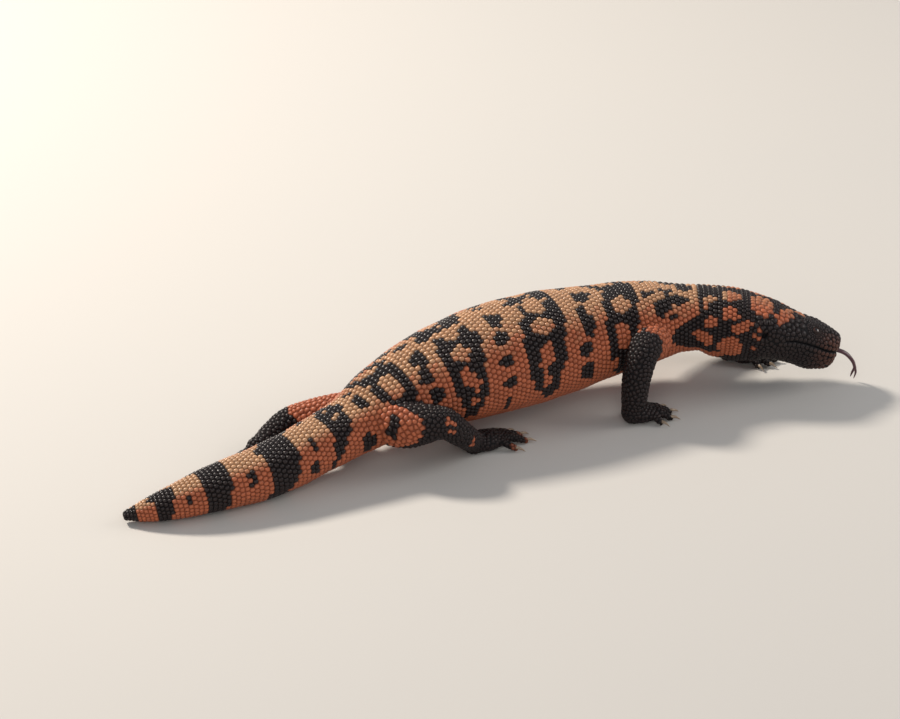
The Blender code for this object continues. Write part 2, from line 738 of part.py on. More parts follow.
def make_limb(name, limb, line, trunk):
    """Upper and lower length of one limb, and its foot."""
    parting = line.stations[limb["bend"]]
    lengths = (("_upper", 0.0, parting - 0.5 * GAP), ("_lower", parting + 0.5 * GAP, line.length))
    made = [make_foot(name + "_foot", limb, line)]
    for part, start, end in lengths:
        points, faces = tube(line, start, end, LIMB_COLUMNS, limb_lift)
        length = mesh_object(name + part, points, faces)
        cut(length, trunk, keep_cutter=True)
        if part == "_lower":
            points, faces = tube(line, 0.0, parting - 0.5 * GAP, LIMB_COLUMNS, limb_lift,
                                 swell=CUT_GAP)
            cut(length, mesh_object("upper cutter", points, faces))
        keep_largest(length)
        made.append(length)
    return made


def trunk_cutter(line, places):
    """The plain trunk, larger by the gap all over, for cutting the roots of the limbs."""
    start = places["tail root"]
    points, faces = tube(line, start, places["nape"], 54, plain_lift, swell=CUT_GAP)
    return mesh_object("trunk cutter", points, faces)


def main():
    for obj in list(bpy.data.objects):
        bpy.data.objects.remove(obj)
    line, places = body_line()
    limbs = {name: limb_line(limb) for name, limb in LIMBS.items()}
    parts = make_body(line, places, limb_samples(limbs))
    looks = {name: "salmon" for name in parts}
    looks["neck"] = "mixed"
    head, jaw, eyes = make_head(line, places)
    tongue, channel = make_tongue()
    cut(head, channel, keep_cutter=True)
    cut(jaw, channel)
    for obj in (head, jaw):
        keep_largest(obj)
        parts[obj.name] = obj
        looks[obj.name] = "black"
    for eye in eyes:
        parts[eye.name] = eye
        looks[eye.name] = "eye"
    parts["tongue"] = tongue
    looks["tongue"] = "tongue"
    trunk = trunk_cutter(line, places)
    for name, limb in LIMBS.items():
        for obj in make_limb(name, limb, limbs[name], trunk):
            parts[obj.name] = obj
            looks[obj.name] = "black"
    remove(trunk)
    for name, obj in parts.items():
        obj.data.materials.clear()
        obj.data.materials.append(material(looks[name]))
        obj.data.shade_smooth()


main()
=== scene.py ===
import bmesh
import bpy
import math
import numpy as np
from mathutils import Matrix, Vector
from mathutils.bvhtree import BVHTree
from mathutils.kdtree import KDTree


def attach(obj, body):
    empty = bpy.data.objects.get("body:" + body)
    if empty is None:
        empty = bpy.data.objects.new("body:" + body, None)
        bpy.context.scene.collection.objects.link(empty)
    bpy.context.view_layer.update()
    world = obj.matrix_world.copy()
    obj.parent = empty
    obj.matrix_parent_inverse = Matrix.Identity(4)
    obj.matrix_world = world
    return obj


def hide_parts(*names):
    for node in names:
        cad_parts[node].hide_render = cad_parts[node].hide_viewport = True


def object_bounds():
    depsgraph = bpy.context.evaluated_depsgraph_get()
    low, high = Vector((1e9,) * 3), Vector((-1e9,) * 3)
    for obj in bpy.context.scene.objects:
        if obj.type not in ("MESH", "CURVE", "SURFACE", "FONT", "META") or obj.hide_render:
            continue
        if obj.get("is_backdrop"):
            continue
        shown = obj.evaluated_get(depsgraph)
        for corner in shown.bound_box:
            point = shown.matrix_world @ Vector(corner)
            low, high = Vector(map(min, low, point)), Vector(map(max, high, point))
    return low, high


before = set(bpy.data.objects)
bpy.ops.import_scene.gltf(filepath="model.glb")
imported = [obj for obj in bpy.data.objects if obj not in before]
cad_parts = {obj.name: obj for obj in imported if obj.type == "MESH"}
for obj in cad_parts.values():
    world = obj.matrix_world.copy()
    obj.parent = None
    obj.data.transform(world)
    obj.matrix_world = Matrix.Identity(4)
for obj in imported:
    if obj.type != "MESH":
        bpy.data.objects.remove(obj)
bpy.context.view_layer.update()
chance = np.random.default_rng(7)

# Lengths are in millimetres in the drawing of the animal, and in metres in the finished pieces
shape = {
    "centre": (-6.7, 12.2),
    # x, y and z of the middle, half width, height above, depth below: tail tip to nape
    "body": (
        (-236.5, -25.5, 4.0, 2.6, 2.6, 2.6), (-222.5, -28.6, 7.0, 7.4, 6.6, 6.9),
        (-202.0, -30.0, 10.8, 11.6, 10.4, 10.6), (-179.9, -28.0, 13.5, 14.3, 13.2, 13.3),
        (-149.5, -23.4, 16.0, 16.4, 15.0, 15.8), (-117.6, -14.5, 21.3, 17.0, 15.6, 16.6),
        (-91.5, -5.2, 26.6, 20.0, 15.6, 18.6), (-65.3, 4.8, 32.4, 26.3, 21.0, 24.0),
        (-35.3, 12.8, 36.0, 31.0, 27.4, 28.2), (0.7, 20.0, 38.0, 35.0, 31.0, 31.4),
        (37.9, 25.3, 38.5, 34.6, 31.0, 31.0), (72.3, 27.2, 39.5, 31.2, 27.6, 26.2),
        (100.6, 26.0, 40.5, 27.6, 25.8, 22.4), (126.6, 21.0, 42.3, 22.2, 20.2, 18.6),
        (148.3, 13.2, 42.6, 22.8, 18.6, 24.4),
    ),
    "headStart": (168.0, 5.3, 40.5),
    "headYaw": -20.7,
    "headPitch": -17.6,
    "headRoll": 11.0,       # the crown leans to the left
    # distance along the straight line of the head, half width, height above, depth below
    "head": ((0.0, 23.0, 15.3, 23.6), (12.0, 21.8, 13.5, 19.6), (24.0, 17.8, 11.5, 18.8),
             (34.0, 14.4, 10.5, 20.0), (41.5, 12.0, 9.0, 18.0), (46.6, 9.6, 7.6, 15.8),
             (49.0, 6.9, 6.2, 12.4)),
    "snoutTip": 50.3,
    # x, y and z of the middle, radius, from inside the body to the ankle
    "limbs": {
        "foreRight": ((102, 14, 40, 11.5), (96, 1, 42.5, 11.0), (86.5, -10.0, 43.5, 9.4),
                      (80.5, -14.0, 29.0, 8.6), (78.5, -15.0, 11.5, 7.4)),
        "foreLeft": ((104, 38, 40, 11.5), (113, 51, 40, 11.0), (130.0, 58.0, 36.0, 9.4),
                     (147.0, 49.5, 23.0, 8.4), (160.0, 40.5, 10.5, 7.2)),
        "hindRight": ((-78, -6, 28, 14.0), (-65, -22, 28.5, 13.2), (-47.0, -30.0, 30.5, 9.6),
                      (-35.0, -27.0, 20.0, 7.8), (-25.5, -19.5, 9.5, 7.0)),
        "hindLeft": ((-80, 3, 27, 13.0), (-98, 17, 21.5, 11.6), (-119.0, 27.0, 15.5, 9.4),
                     (-132.0, 23.5, 11.5, 7.8), (-141.5, 16.5, 9.0, 7.0)),
    },
    # middle of the palm, heading of the foot
    "feet": {
        "foreRight": ((83.5, -14.5), -1.0), "foreLeft": ((171.5, 33.0), -26.0),
        "hindRight": ((-15.0, -14.5), 7.0), "hindLeft": ((-150.0, 10.5), 203.0),
    },
    # angle from the heading and reach of each toe, from the inner one out
    "foreToes": ((50, 14.0), (25, 17.0), (2, 19.0), (-22, 18.0), (-50, 14.0)),
    "hindToes": ((42, 17.0), (21, 21.0), (3, 24.5), (-15, 25.5), (-42, 19.0)),
    "palmHeight": 5.0,
    "forePalm": (10.0, 9.0, 5.6),
    "hindPalm": (12.5, 9.5, 5.8),
    "toe": ((0.25, 5.0, 3.0), (0.62, 4.8, 2.7), (1.0, 1.65, 1.95)),
    "toeRoot": 1.5,
    "heelReach": 4.5,
}


def unit(vectors):
    return vectors / np.linalg.norm(vectors, axis=-1, keepdims=True)


def dot(a, b):
    return (a * b).sum(axis=-1, keepdims=True)


def ramp(value, low, high):
    share = np.clip((value - low) / (high - low), 0.0, 1.0)
    return share * share * (3.0 - 2.0 * share)


def lean(up, ahead, angle):
    return up * np.cos(angle) + np.cross(up, ahead) * np.sin(angle)


def curveThrough(rows, places):
    last = len(rows) - 1
    first = np.clip(np.floor(places).astype(int), 0, last - 1)
    share = (places - first)[:, None]
    padded = np.vstack((2 * rows[0] - rows[1], rows, 2 * rows[-1] - rows[-2]))
    a, b, c, d = (padded[first + k] for k in range(4))
    bend = (-a + 3 * b - 3 * c + d) * share ** 3 + (2 * a - 5 * b + 4 * c - d) * share ** 2
    return 0.5 * (2 * b + (c - a) * share + bend)


class SmoothLine:
    def __init__(self, stations, upright=(0, 0, 1), carried=False, ease=0.0):
        rows = np.array(stations, float)
        self.rows = curveThrough(rows, np.linspace(0, len(rows) - 1, (len(rows) - 1) * 20 + 1))
        steps = np.linalg.norm(np.diff(self.rows[:, :3], axis=0), axis=1)
        self.along = np.concatenate(([0.0], np.cumsum(steps)))
        self.length = self.along[-1]
        ahead = unit(np.gradient(self.rows[:, :3], axis=0))
        near = [np.abs(self.along - along) <= ease for along in self.along]
        self.forward = unit(np.array([ahead[close].mean(axis=0) for close in near]))
        up = np.array(upright, float)
        ups = []
        for way in self.forward:
            base = up if carried else np.array(upright, float)
            up = unit(base - way * np.dot(base, way))
            ups.append(up)
        self.up = np.array(ups)
        self.stations = self.along[::20]

    def roll(self, start, end, angle):
        # turns the rings about the line, from nothing at the start to the angle at the end
        share = np.clip((self.along - start) / (end - start), 0, 1)[:, None] * angle
        self.up = lean(self.up, self.forward, share)

    def read(self, table, along):
        return np.stack([np.interp(along, self.along, column) for column in table.T], axis=-1)

    def axes(self, along):
        row = self.read(self.rows, along)
        ahead = unit(self.read(self.forward, along))
        up = self.read(self.up, along)
        up = unit(up - ahead * dot(up, ahead))
        return row, np.cross(up, ahead), up, ahead

    def place(self, along, turn, lift=0.0):
        along, turn, lift = np.broadcast_arrays(np.asarray(along, float), turn, lift)
        row, side, up, ahead = self.axes(along)
        across = np.cos(turn)[..., None]
        high = np.sin(turn)[..., None]
        reach = np.where(high > 0, row[..., 4:5], row[..., 5:6])
        outward = unit(side * across / row[..., 3:4] + up * high / reach)
        spot = row[..., :3] + side * row[..., 3:4] * across + up * reach * high
        return spot + outward * lift[..., None], outward


def direction(yaw, pitch=0.0):
    yaw, pitch = math.radians(yaw), math.radians(pitch)
    return np.array((math.cos(yaw) * math.cos(pitch), math.sin(yaw) * math.cos(pitch),
                     math.sin(pitch)))


headStart = np.array(shape["headStart"])
headAhead = direction(shape["headYaw"], shape["headPitch"])
headRoll = math.radians(shape["headRoll"])
headUp = lean(np.cross(headAhead, unit(np.cross((0, 0, 1), headAhead))), headAhead, headRoll)
bodyRows = list(shape["body"])
bodyRows += [(*(headStart + headAhead * row[0]), *row[1:]) for row in shape["head"]]
bodyLine = SmoothLine(bodyRows)
headAt = bodyLine.stations[len(shape["body"])]
napeAt = bodyLine.stations[len(shape["body"]) - 1]
bodyLine.roll(bodyLine.stations[len(shape["body"]) - 2], headAt, headRoll)
limbLines = {}
for name, rows in shape["limbs"].items():
    rows = [(x, y, z, r, r, r) for x, y, z, r in rows]
    limbLines[name] = SmoothLine(rows, upright=(0.2, 0.1, 1.0), carried=True, ease=8.0)


def toMetres(points):
    return (np.asarray(points, float) - (*shape["centre"], 0.0)) * 0.001


def meshFrom(name, points, faces):
    mesh = bpy.data.meshes.new(name)
    mesh.from_pydata(np.asarray(points).tolist(), [], faces)
    work = bmesh.new()
    work.from_mesh(mesh)
    bmesh.ops.recalc_face_normals(work, faces=work.faces)
    if work.calc_volume(signed=True) < 0:
        bmesh.ops.reverse_faces(work, faces=work.faces)
    work.to_mesh(mesh)
    work.free()
    return linkObject(name, mesh)


def ringFaces(rows, columns):
    faces = []
    for row in range(rows - 1):
        for column in range(columns):
            a = row * columns + column
            b = row * columns + (column + 1) % columns
            faces.append((a, b, b + columns, a + columns))
    return faces


def closedFaces(rows, columns):
    # rings of faces, closed by a hub before the first ring and one after the last
    faces = ringFaces(rows, columns)
    hub = rows * columns
    base = hub - columns
    for column in range(columns):
        beside = (column + 1) % columns
        faces.append((beside, column, hub))
        faces.append((base + column, base + beside, hub + 1))
    return faces


def plainLift(along, turn, plain):
    return 0.0 * along


def tube(line, columns, step, lift, tip=None):
    # rings along a line, closed at both ends
    count = max(3, int(line.length / step) + 1)
    along, turn = np.meshgrid(np.linspace(0.0, line.length, count),
                              np.linspace(0, 2 * math.pi, columns, endpoint=False),
                              indexing="ij")
    plain = line.place(along.ravel(), turn.ravel())[0]
    points = line.place(along.ravel(), turn.ravel(), lift(along.ravel(), turn.ravel(), plain))[0]
    first = line.read(line.rows, 0.0)[:3]
    last = line.read(line.rows, line.length)[:3] if tip is None else np.asarray(tip)
    return np.vstack((points, first, last)), closedFaces(count, columns)


def ball(middle, sizes, axes=None, segments=24, rings=14):
    axes = np.eye(3) if axes is None else np.array(axes)
    tilt, turn = np.meshgrid(np.linspace(0, math.pi, rings + 1)[1:-1],
                             np.linspace(0, 2 * math.pi, segments, endpoint=False),
                             indexing="ij")
    flat = np.stack((np.sin(tilt) * np.cos(turn), np.sin(tilt) * np.sin(turn), np.cos(tilt)), -1)
    points = np.asarray(middle) + (flat.reshape(-1, 3) * sizes) @ axes
    points = np.vstack((points, middle + axes[2] * sizes[2], middle - axes[2] * sizes[2]))
    return points, closedFaces(rings - 1, segments)


def treeOf(points):
    tree = KDTree(len(points))
    for index, point in enumerate(points):
        tree.insert(point, index)
    tree.balance()
    return tree


def linkObject(name, data):
    made = bpy.data.objects.new(name, data)
    bpy.context.scene.collection.objects.link(made)
    return made


def store(mesh, name, values, kind="FLOAT"):
    layer = mesh.attributes.new(name, kind, "POINT")
    layer.data.foreach_set("vector" if kind == "FLOAT_VECTOR" else "value", values)


def vertexTable(mesh, key):
    values = np.empty(len(mesh.vertices) * 3)
    mesh.vertices.foreach_get(key, values)
    return values.reshape(-1, 3)


def removeObject(obj):
    mesh = obj.data
    bpy.data.objects.remove(obj)
    bpy.data.meshes.remove(mesh)


def applyModifier(obj, kind, **settings):
    step = obj.modifiers.new(kind.lower(), kind)
    for key, value in settings.items():
        setattr(step, key, value)
    graph = bpy.context.evaluated_depsgraph_get()
    baked = bpy.data.meshes.new_from_object(obj.evaluated_get(graph))
    obj.modifiers.remove(step)
    old = obj.data
    obj.data = baked
    bpy.data.meshes.remove(old)


def keepLargest(obj):
    # slivers that the cuts leave inside are taken out
    book = bmesh.new()
    book.from_mesh(obj.data)
    left = set(book.verts)
    groups = []
    while left:
        group = [left.pop()]
        for vert in group:
            for edge in vert.link_edges:
                other = edge.other_vert(vert)
                if other in left:
                    left.remove(other)
                    group.append(other)
        groups.append(group)
    groups.sort(key=len)
    for group in groups[:-1]:
        bmesh.ops.delete(book, geom=group, context="VERTS")
    book.to_mesh(obj.data)
    book.free()


def joinMeshes(name, pieces):
    points = []
    faces = []
    offset = 0
    for spots, sides in pieces:
        points.append(spots)
        faces += [tuple(corner + offset for corner in side) for side in sides]
        offset += len(spots)
    return meshFrom(name, toMetres(np.vstack(points)), faces)


# The skin under the coat
skinForm = {
    "depth": 0.55,          # how far the skin lies under the plain form of the solids
    "grain": 1.15,          # size of its faces
    "limbDepth": 0.5,
    "mouthGap": 0.62,       # half the opening between the lips
    "mouthDepth": 3.5,
    "eyeRadius": 3.1,
    "eyeAlong": 31.4,
    "eyeTurn": 45.0,
    "eyeSink": 2.3,
    "earAlong": 1.0,
    "earTurn": -4.0,
    "earSize": (2.9, 1.5, 3.0),
    "earLean": (0.9, 0.35),     # how far its length points up and ahead
    "nostrilAlong": 45.8,
    "nostrilTurn": 42.0,
    "nostrilRadius": 1.1,
    "socketRoom": 0.15,     # between an eye and its socket
    # along the head line, height over it
    "mouth": ((13.0, -2.4), (20.0, -0.9), (28.0, -1.1), (36.0, -2.0), (41.0, -3.0), (56.0, -3.6)),
    "front": 49.7,
    "browTurn": 68.0,
    "browRise": 0.6,
    "browReach": 5.5,
}
# Folds of the skin: place along the body, turn from the top of the back, half width along,
# half width round in degrees, slant in millimetres for each degree, height
folds = (
    (379, 118, 3.4, 42, 0.05, -1.3), (386, 120, 3.2, 40, 0.05, 1.1),
    (397, 125, 3.6, 36, 0.02, -1.3), (404, 122, 3.8, 40, 0.02, 0.9),
    (366, 110, 3.2, 34, 0.06, -1.0), (357, 105, 3.2, 32, 0.06, 0.7),
    (413, 128, 3.2, 30, 0.0, -0.5), (426, 78, 8.0, 24, 0.0, 0.7),
    (192, 128, 4.0, 20, -0.05, -0.5), (200, 130, 4.0, 22, -0.05, 0.4),
    (330, 128, 5.0, 20, 0.05, -0.5), (338, 130, 4.0, 20, 0.05, 0.4),
)


def foldLift(along, fromTop):
    total = np.zeros_like(along)
    for s, a, halfAlong, halfRound, slant, height in folds:
        shift = (np.abs(fromTop) - a) * slant
        near = ((along - s - shift) / halfAlong) ** 2
        total += height * np.exp(-near - ((np.abs(fromTop) - a) / halfRound) ** 2)
    return total


def bodyLift(along, turn, plain):
    fromTop = 90.0 - np.degrees(turn)
    fromTop = -((fromTop + 180) % 360 - 180)
    brows = [bodyLine.place(headAt + skinForm["eyeAlong"], math.radians(t))[0]
             for t in (skinForm["browTurn"], 180 - skinForm["browTurn"])]
    near = np.minimum(*[np.linalg.norm(plain - brow, axis=-1) for brow in brows])
    brow = skinForm["browRise"] * np.exp(-(near / skinForm["browReach"]) ** 2)
    wave = 0.25 * np.sin(along * 0.21 + 1.3 * np.sin(turn * 2)) * np.sin(turn * 3 + along * 0.05)
    return foldLift(along, fromTop) + brow + wave * ramp(along, 20, 60) - skinForm["depth"]


def palmAxes(name):
    (x, y), heading = shape["feet"][name]
    ahead = direction(heading)
    left = np.array((-ahead[1], ahead[0], 0.0))
    return np.array((x, y, shape["palmHeight"])), ahead, left, heading


def footPieces(name):
    palm, ahead, left, heading = palmAxes(name)
    hind = "hind" in name
    depth = skinForm["limbDepth"]
    sizes = np.array(shape["hindPalm"] if hind else shape["forePalm"]) - depth
    pieces = [ball(palm, sizes, (ahead, left, np.array((0, 0, 1.0))))]
    line = limbLines[name]
    ankle = line.rows[-1]
    radius = ankle[3] - depth
    heel = ankle[:3] + line.forward[-1] * shape["heelReach"]
    begin = ankle[:3] - line.forward[-1] * 2.0
    rows = [(*begin, radius, radius, radius), (*heel, *[0.9 * radius] * 3)]
    cuff = SmoothLine(rows, upright=line.up[-1], carried=True)
    pieces.append(tube(cuff, 24, 1.5, plainLift))
    pieces.append(ball(heel, (radius, radius, heel[2] + 0.3)))
    inner = 1 if "Right" in name else -1
    for angle, reach in shape["hindToes" if hind else "foreToes"]:
        out = direction(heading + inner * angle)
        rows = []
        for share, high, wide in shape["toe"]:
            spot = palm + out * reach * share + ahead * shape["toeRoot"] * (1.0 - share)
            rows.append((spot[0], spot[1], high, *[wide] * 3))
        rows.insert(0, (*(palm + out * 1.0)[:2], 5.0, 3.4, 3.4, 3.4))
        toe = SmoothLine(rows)
        tip = toe.rows[-1][:3] + toe.forward[-1] * 1.5
        pieces.append(tube(toe, 16, 1.0, lambda along, turn, plain: 0.0 * along - 0.3, tip))
    return pieces


def headPlace(along, turn, lift=0.0):
    return bodyLine.place(headAt + along, math.radians(turn), lift)


def sided(side, turn):
    return turn if side == "left" else 180 - turn


def mouthHeight(along):
    table = np.array(skinForm["mouth"])
    return np.interp(along, table[:, 0], table[:, 1])


def mouthPath(shift, steps=16):
    # points on the skin along the mouth, from its left corner round the snout, and outward ways
    depth = skinForm["depth"]
    left = []
    right = []
    for along in np.linspace(skinForm["mouth"][0][0], 47.8, steps):
        high = mouthHeight(along) + shift
        row = bodyLine.read(bodyLine.rows, headAt + along)
        turn = math.degrees(math.asin(high / (row[4] if high > 0 else row[5])))
        left.append(headPlace(along, turn, -depth))
        right.append(headPlace(along, 180 - turn, -depth))
    front = headStart + headAhead * (skinForm["front"] - depth)
    front = front + headUp * (mouthHeight(skinForm["front"]) + shift)
    path = left + [(front, headAhead)] + right[::-1]
    return np.array([spot for spot, way in path]), unit(np.array([way for spot, way in path]))


def mouthSlit():
    spots, ways = mouthPath(0.0)
    ends = np.abs(np.linspace(-1, 1, len(spots)))
    wide = skinForm["mouthGap"] * np.sqrt(np.clip(1.05 - ends ** 6, 0.03, 1))
    flatWays = unit(ways - headUp * dot(ways, headUp))
    points = []
    for spot, way, half in zip(spots, flatWays, wide):
        outer = spot + way * 2.0
        inner = spot - way * skinForm["mouthDepth"]
        points += [outer + headUp * half, outer - headUp * half,
                   inner - headUp * 0.1, inner + headUp * 0.1]
    faces = ringFaces(len(spots), 4)
    last = len(points)
    faces += [(0, 1, 2, 3), (last - 1, last - 2, last - 3, last - 4)]
    return meshFrom("mouth slit", toMetres(points), faces)


def eyeMiddle(side):
    return headPlace(skinForm["eyeAlong"], sided(side, skinForm["eyeTurn"]), -skinForm["eyeSink"])


def eyeAxes(side):
    middle, outward = eyeMiddle(side)
    across = unit(headAhead - outward * np.dot(outward, headAhead))
    return middle, across, np.cross(outward, across), outward


def makeSkin():
    tip = headStart + headAhead * (shape["snoutTip"] - skinForm["depth"])
    pieces = [tube(bodyLine, 120, 1.6, bodyLift, tip)]
    for name, line in limbLines.items():
        lift = lambda along, turn, plain: 0.0 * along - skinForm["limbDepth"]
        pieces.append(tube(line, 40, 1.5, lift))
        pieces += footPieces(name)
    made = joinMeshes("skin", pieces)
    applyModifier(made, "REMESH", mode="VOXEL", voxel_size=skinForm["grain"] * 0.001)
    applyModifier(made, "SMOOTH", factor=0.5, iterations=4)
    spots = vertexTable(made.data, "co")
    spots[:, 2] = np.maximum(spots[:, 2], 0.0)
    made.data.vertices.foreach_set("co", spots.ravel())
    cutters = [mouthSlit()]
    for side in ("left", "right"):
        middle, outward = eyeMiddle(side)
        radius = skinForm["eyeRadius"] + skinForm["socketRoom"]
        cutters.append(joinMeshes("socket", [ball(middle, np.full(3, radius))]))
        ear, way = headPlace(skinForm["earAlong"], sided(side, skinForm["earTurn"]), 0.2)
        high, ahead = skinForm["earLean"]
        long = unit(headUp * high + headAhead * ahead)
        long = unit(long - way * np.dot(long, way))
        axes = (long, np.cross(way, long), way)
        cutters.append(joinMeshes("ear", [ball(ear, np.array(skinForm["earSize"]), axes)]))
        spot = headPlace(skinForm["nostrilAlong"], sided(side, skinForm["nostrilTurn"]))[0]
        cutters.append(joinMeshes("nostril", [ball(spot, np.full(3, skinForm["nostrilRadius"]))]))
    for cutter in cutters:
        applyModifier(made, "BOOLEAN", operation="DIFFERENCE", object=cutter, solver="MANIFOLD")
        removeObject(cutter)
    keepLargest(made)
    made.data.materials.clear()
    made.data.shade_smooth()
    return made


skin = makeSkin()
print("skin", len(skin.data.polygons), flush=True)

# The markings, by the place along the body from the tail tip and the turn from the top of the
# back in degrees. Edges are lists of turn and place; spots are place, turn and half sizes
marks = {
    "tip": 8.0,
    "bands": (
        (((0, 15), (49, 19.4)), ((0, 29.7), (58, 29.5), (113, 26))),
        (((0, 46), (32, 46.7), (75, 46.5), (125, 45)),
         ((4, 61.3), (58, 62.3), (94, 59), (123, 57))),
        (((0, 80.5), (31, 84), (67, 83.4), (118, 82.4)),
         ((0, 104), (17, 104), (52, 103.8), (101, 98.7), (119, 94))),
        (((0, 127.7), (31, 127.2), (68, 124.6), (106, 122.4)),
         ((0, 144.5), (35, 140.5), (62, 135.2), (91, 128.2), (110, 124))),
        (((5, 209), (20, 206.6), (60, 204.5), (89, 208), (120, 213)),
         ((5, 231), (32, 233), (45, 229), (72, 226.7), (92, 227), (98, 223), (120, 222.5))),
        (((3, 263), (20, 263), (24, 260), (47, 255.6), (66, 255), (97, 257), (110, 263),
          (126, 270)),
         ((0, 289.5), (27, 290), (46, 285.5), (61, 282.6), (85, 280), (89, 276), (126, 275))),
        (((0, 322), (24, 318), (44, 315.5), (79, 312.6), (110, 316)),
         ((0, 342.5), (44, 339.2), (73, 334.5), (110, 328))),
    ),
    # place, turn, half length, half turn and, for some, slant in degrees for each millimetre
    "spots": (
        (37, 59, 1.7, 18), (72.8, 58.5, 1.9, 24), (115.7, 31, 1.8, 6), (113.4, 50, 1.8, 8),
        (110, 93, 2.1, 18), (154.3, 13, 3.6, 15), (166, -14, 5, 11), (176, -24, 5, 9),
        (145, 100, 4.4, 25), (174, 26, 10.6, 42), (177, 76, 8, 12),
        (194.5, 17, 4.8, 12), (192.6, 44, 4.6, 10), (194.3, 72, 4.6, 13), (199, 100, 3, 6),
        (245.8, 12, 4.8, 11), (243.4, 37, 4.4, 8), (241.7, 60, 4.2, 7.5), (242, 85, 4.2, 8),
        (241, 117, 2.4, 12), (306.5, 6, 6.2, 9), (302, 40, 4.6, 18), (297.3, 71, 5.0, 8),
        (297.5, 99, 4.2, 14), (367, 25, 7.5, 9), (358, 37, 6.2, 9), (354, 46, 4.6, 8),
        (363.5, 52, 3.4, 5), (353.7, 78, 2.2, 9), (207.4, -8.4, 4.4, 6), (224.2, -12.6, 3.8, 7),
        (262.2, -6.8, 3, 5), (283.3, -9.5, 3.4, 6), (349.5, 16, 4, 5), (361.6, 9, 4.4, 5),
        (373, -4, 5, 7),
    ),
    "lights": (
        (173.2, 25, 4.8, 24), (219, 8, 3.9, 10), (217.4, 36, 5.0, 12), (217.3, 69, 5.2, 12.5, 1.2),
        (217.2, 96, 3.2, 6), (275, 5, 6.6, 15), (272, 35, 7.4, 10.5), (268.6, 68, 5.8, 14, -1.0),
        (267, 96, 3.2, 7), (329, 27, 6.0, 12), (325.2, 67, 5.2, 19),
        (135, 13, 2.5, 7), (318, 100, 2.6, 9),
    ),
    "neck": ((0, 381), (55, 379.5), (66, 373.6), (73, 366.6), (82, 360.4), (92, 360.9),
             (105, 363), (119, 370), (130, 388), (180, 398)),
    "dots": ((417, 83.7), (417.3, 97.3), (413.3, 97.8), (414.3, 118.4), (421.3, 43.5),
             (424.3, 59)),
    "neckLights": (
        (385, 38, 2.8, 13), (387.5, 28, 4.2, 6), (399.5, 19, 5.2, 14), (399, 56, 5.2, 12),
        (406, 79, 6.2, 11, -0.8), (387.4, 71, 5.2, 10), (383, 98, 6.6, 11, 1.2),
        (400.5, 117, 7.8, 19), (388, 141, 10, 11), (416, 24, 5.2, 30), (429, 34, 5.6, 24, -3.5),
        (439.6, -4, 3.6, 14), (390, -22, 4.5, 10),
    ),
}


def wobble(along, turn, seed):
    return (np.sin(along * 0.55 + seed) * np.cos(turn * 0.13 + seed * 2.1)
            + 0.5 * np.sin(along * 1.3 - turn * 0.21 + seed * 0.7))


def inSpots(along, turn, spots):
    found = np.zeros(len(along), bool)
    for s, a, halfAlong, halfRound, *slant in spots:
        off = turn - a - sum(slant) * (along - s)
        far = np.abs((along - s) / halfAlong) ** 2.4 + np.abs(off / halfRound) ** 2.4
        found |= far < 1.0
    return found


def bodyDark(along, fromTop):
    # the left side carries the same pattern, shifted and turned a little
    left = fromTop < 0
    shift = np.where(left, 7.0 * ramp(-fromTop, 8, 45) * np.sin(along * 0.041 + 0.6), 0.0)
    s = along + shift + 0.35 * wobble(along, fromTop, 1.0)
    a = np.where(left & (fromTop < -14), -fromTop * 1.04 + 2.0, fromTop)
    a = a + 0.9 * wobble(along, fromTop, 4.0)
    size = np.abs(a)
    dark = s < marks["tip"]
    for leftEdge, rightEdge in marks["bands"]:
        low = np.interp(size, *np.array(leftEdge).T)
        high = np.interp(size, *np.array(rightEdge).T)
        end = 124 if leftEdge[0][1] > 150 else 181
        reach = (size < end + 3 * wobble(along, fromTop, 9.0)) & (size > leftEdge[0][0] - 1)
        dark |= (s > low) & (s < high) & reach
    dark |= inSpots(s, a, marks["spots"])
    dark &= ~inSpots(s, a, marks["lights"])
    neck = s > np.interp(size, *np.array(marks["neck"]).T)
    neck &= ~inSpots(s, a, marks["neckLights"])
    return dark | neck


def limbDark(name, along, turn):
    # turn in degrees round the limb, place from its root
    dark = np.ones(len(along), bool)
    wave = wobble(along, turn, 2.0)
    around = lambda middle: np.abs((turn - middle + 180) % 360 - 180)
    if name == "hindRight":
        patch = ((along - 16) / 15) ** 2 + (around(178) / 66) ** 2 < 1 + 0.1 * wave
        spot = ((along - 17.5) / 3.2) ** 2 + (around(174) / 30) ** 2 < 1
        dark = ~patch | spot
        # scattered pale beads at the knee and the ankle
        near = ((along - 42.5) / 3.4) ** 2 + (around(170) / 36) ** 2 < 1
        near |= ((along - 64) / 3.4) ** 2 + (around(178) / 26) ** 2 < 1
        dark &= ~(near & (np.sin(along * 5.1 + turn * 0.9) > 0.2))
    if name == "hindLeft":
        dark = (along + 1.5 * wave > 47) | (around(25) > 100)
    if name == "foreRight":
        dark = along + 1.5 * wave > 24
    if name == "foreLeft":
        dark = along + 2.0 * wave > 16
    return dark


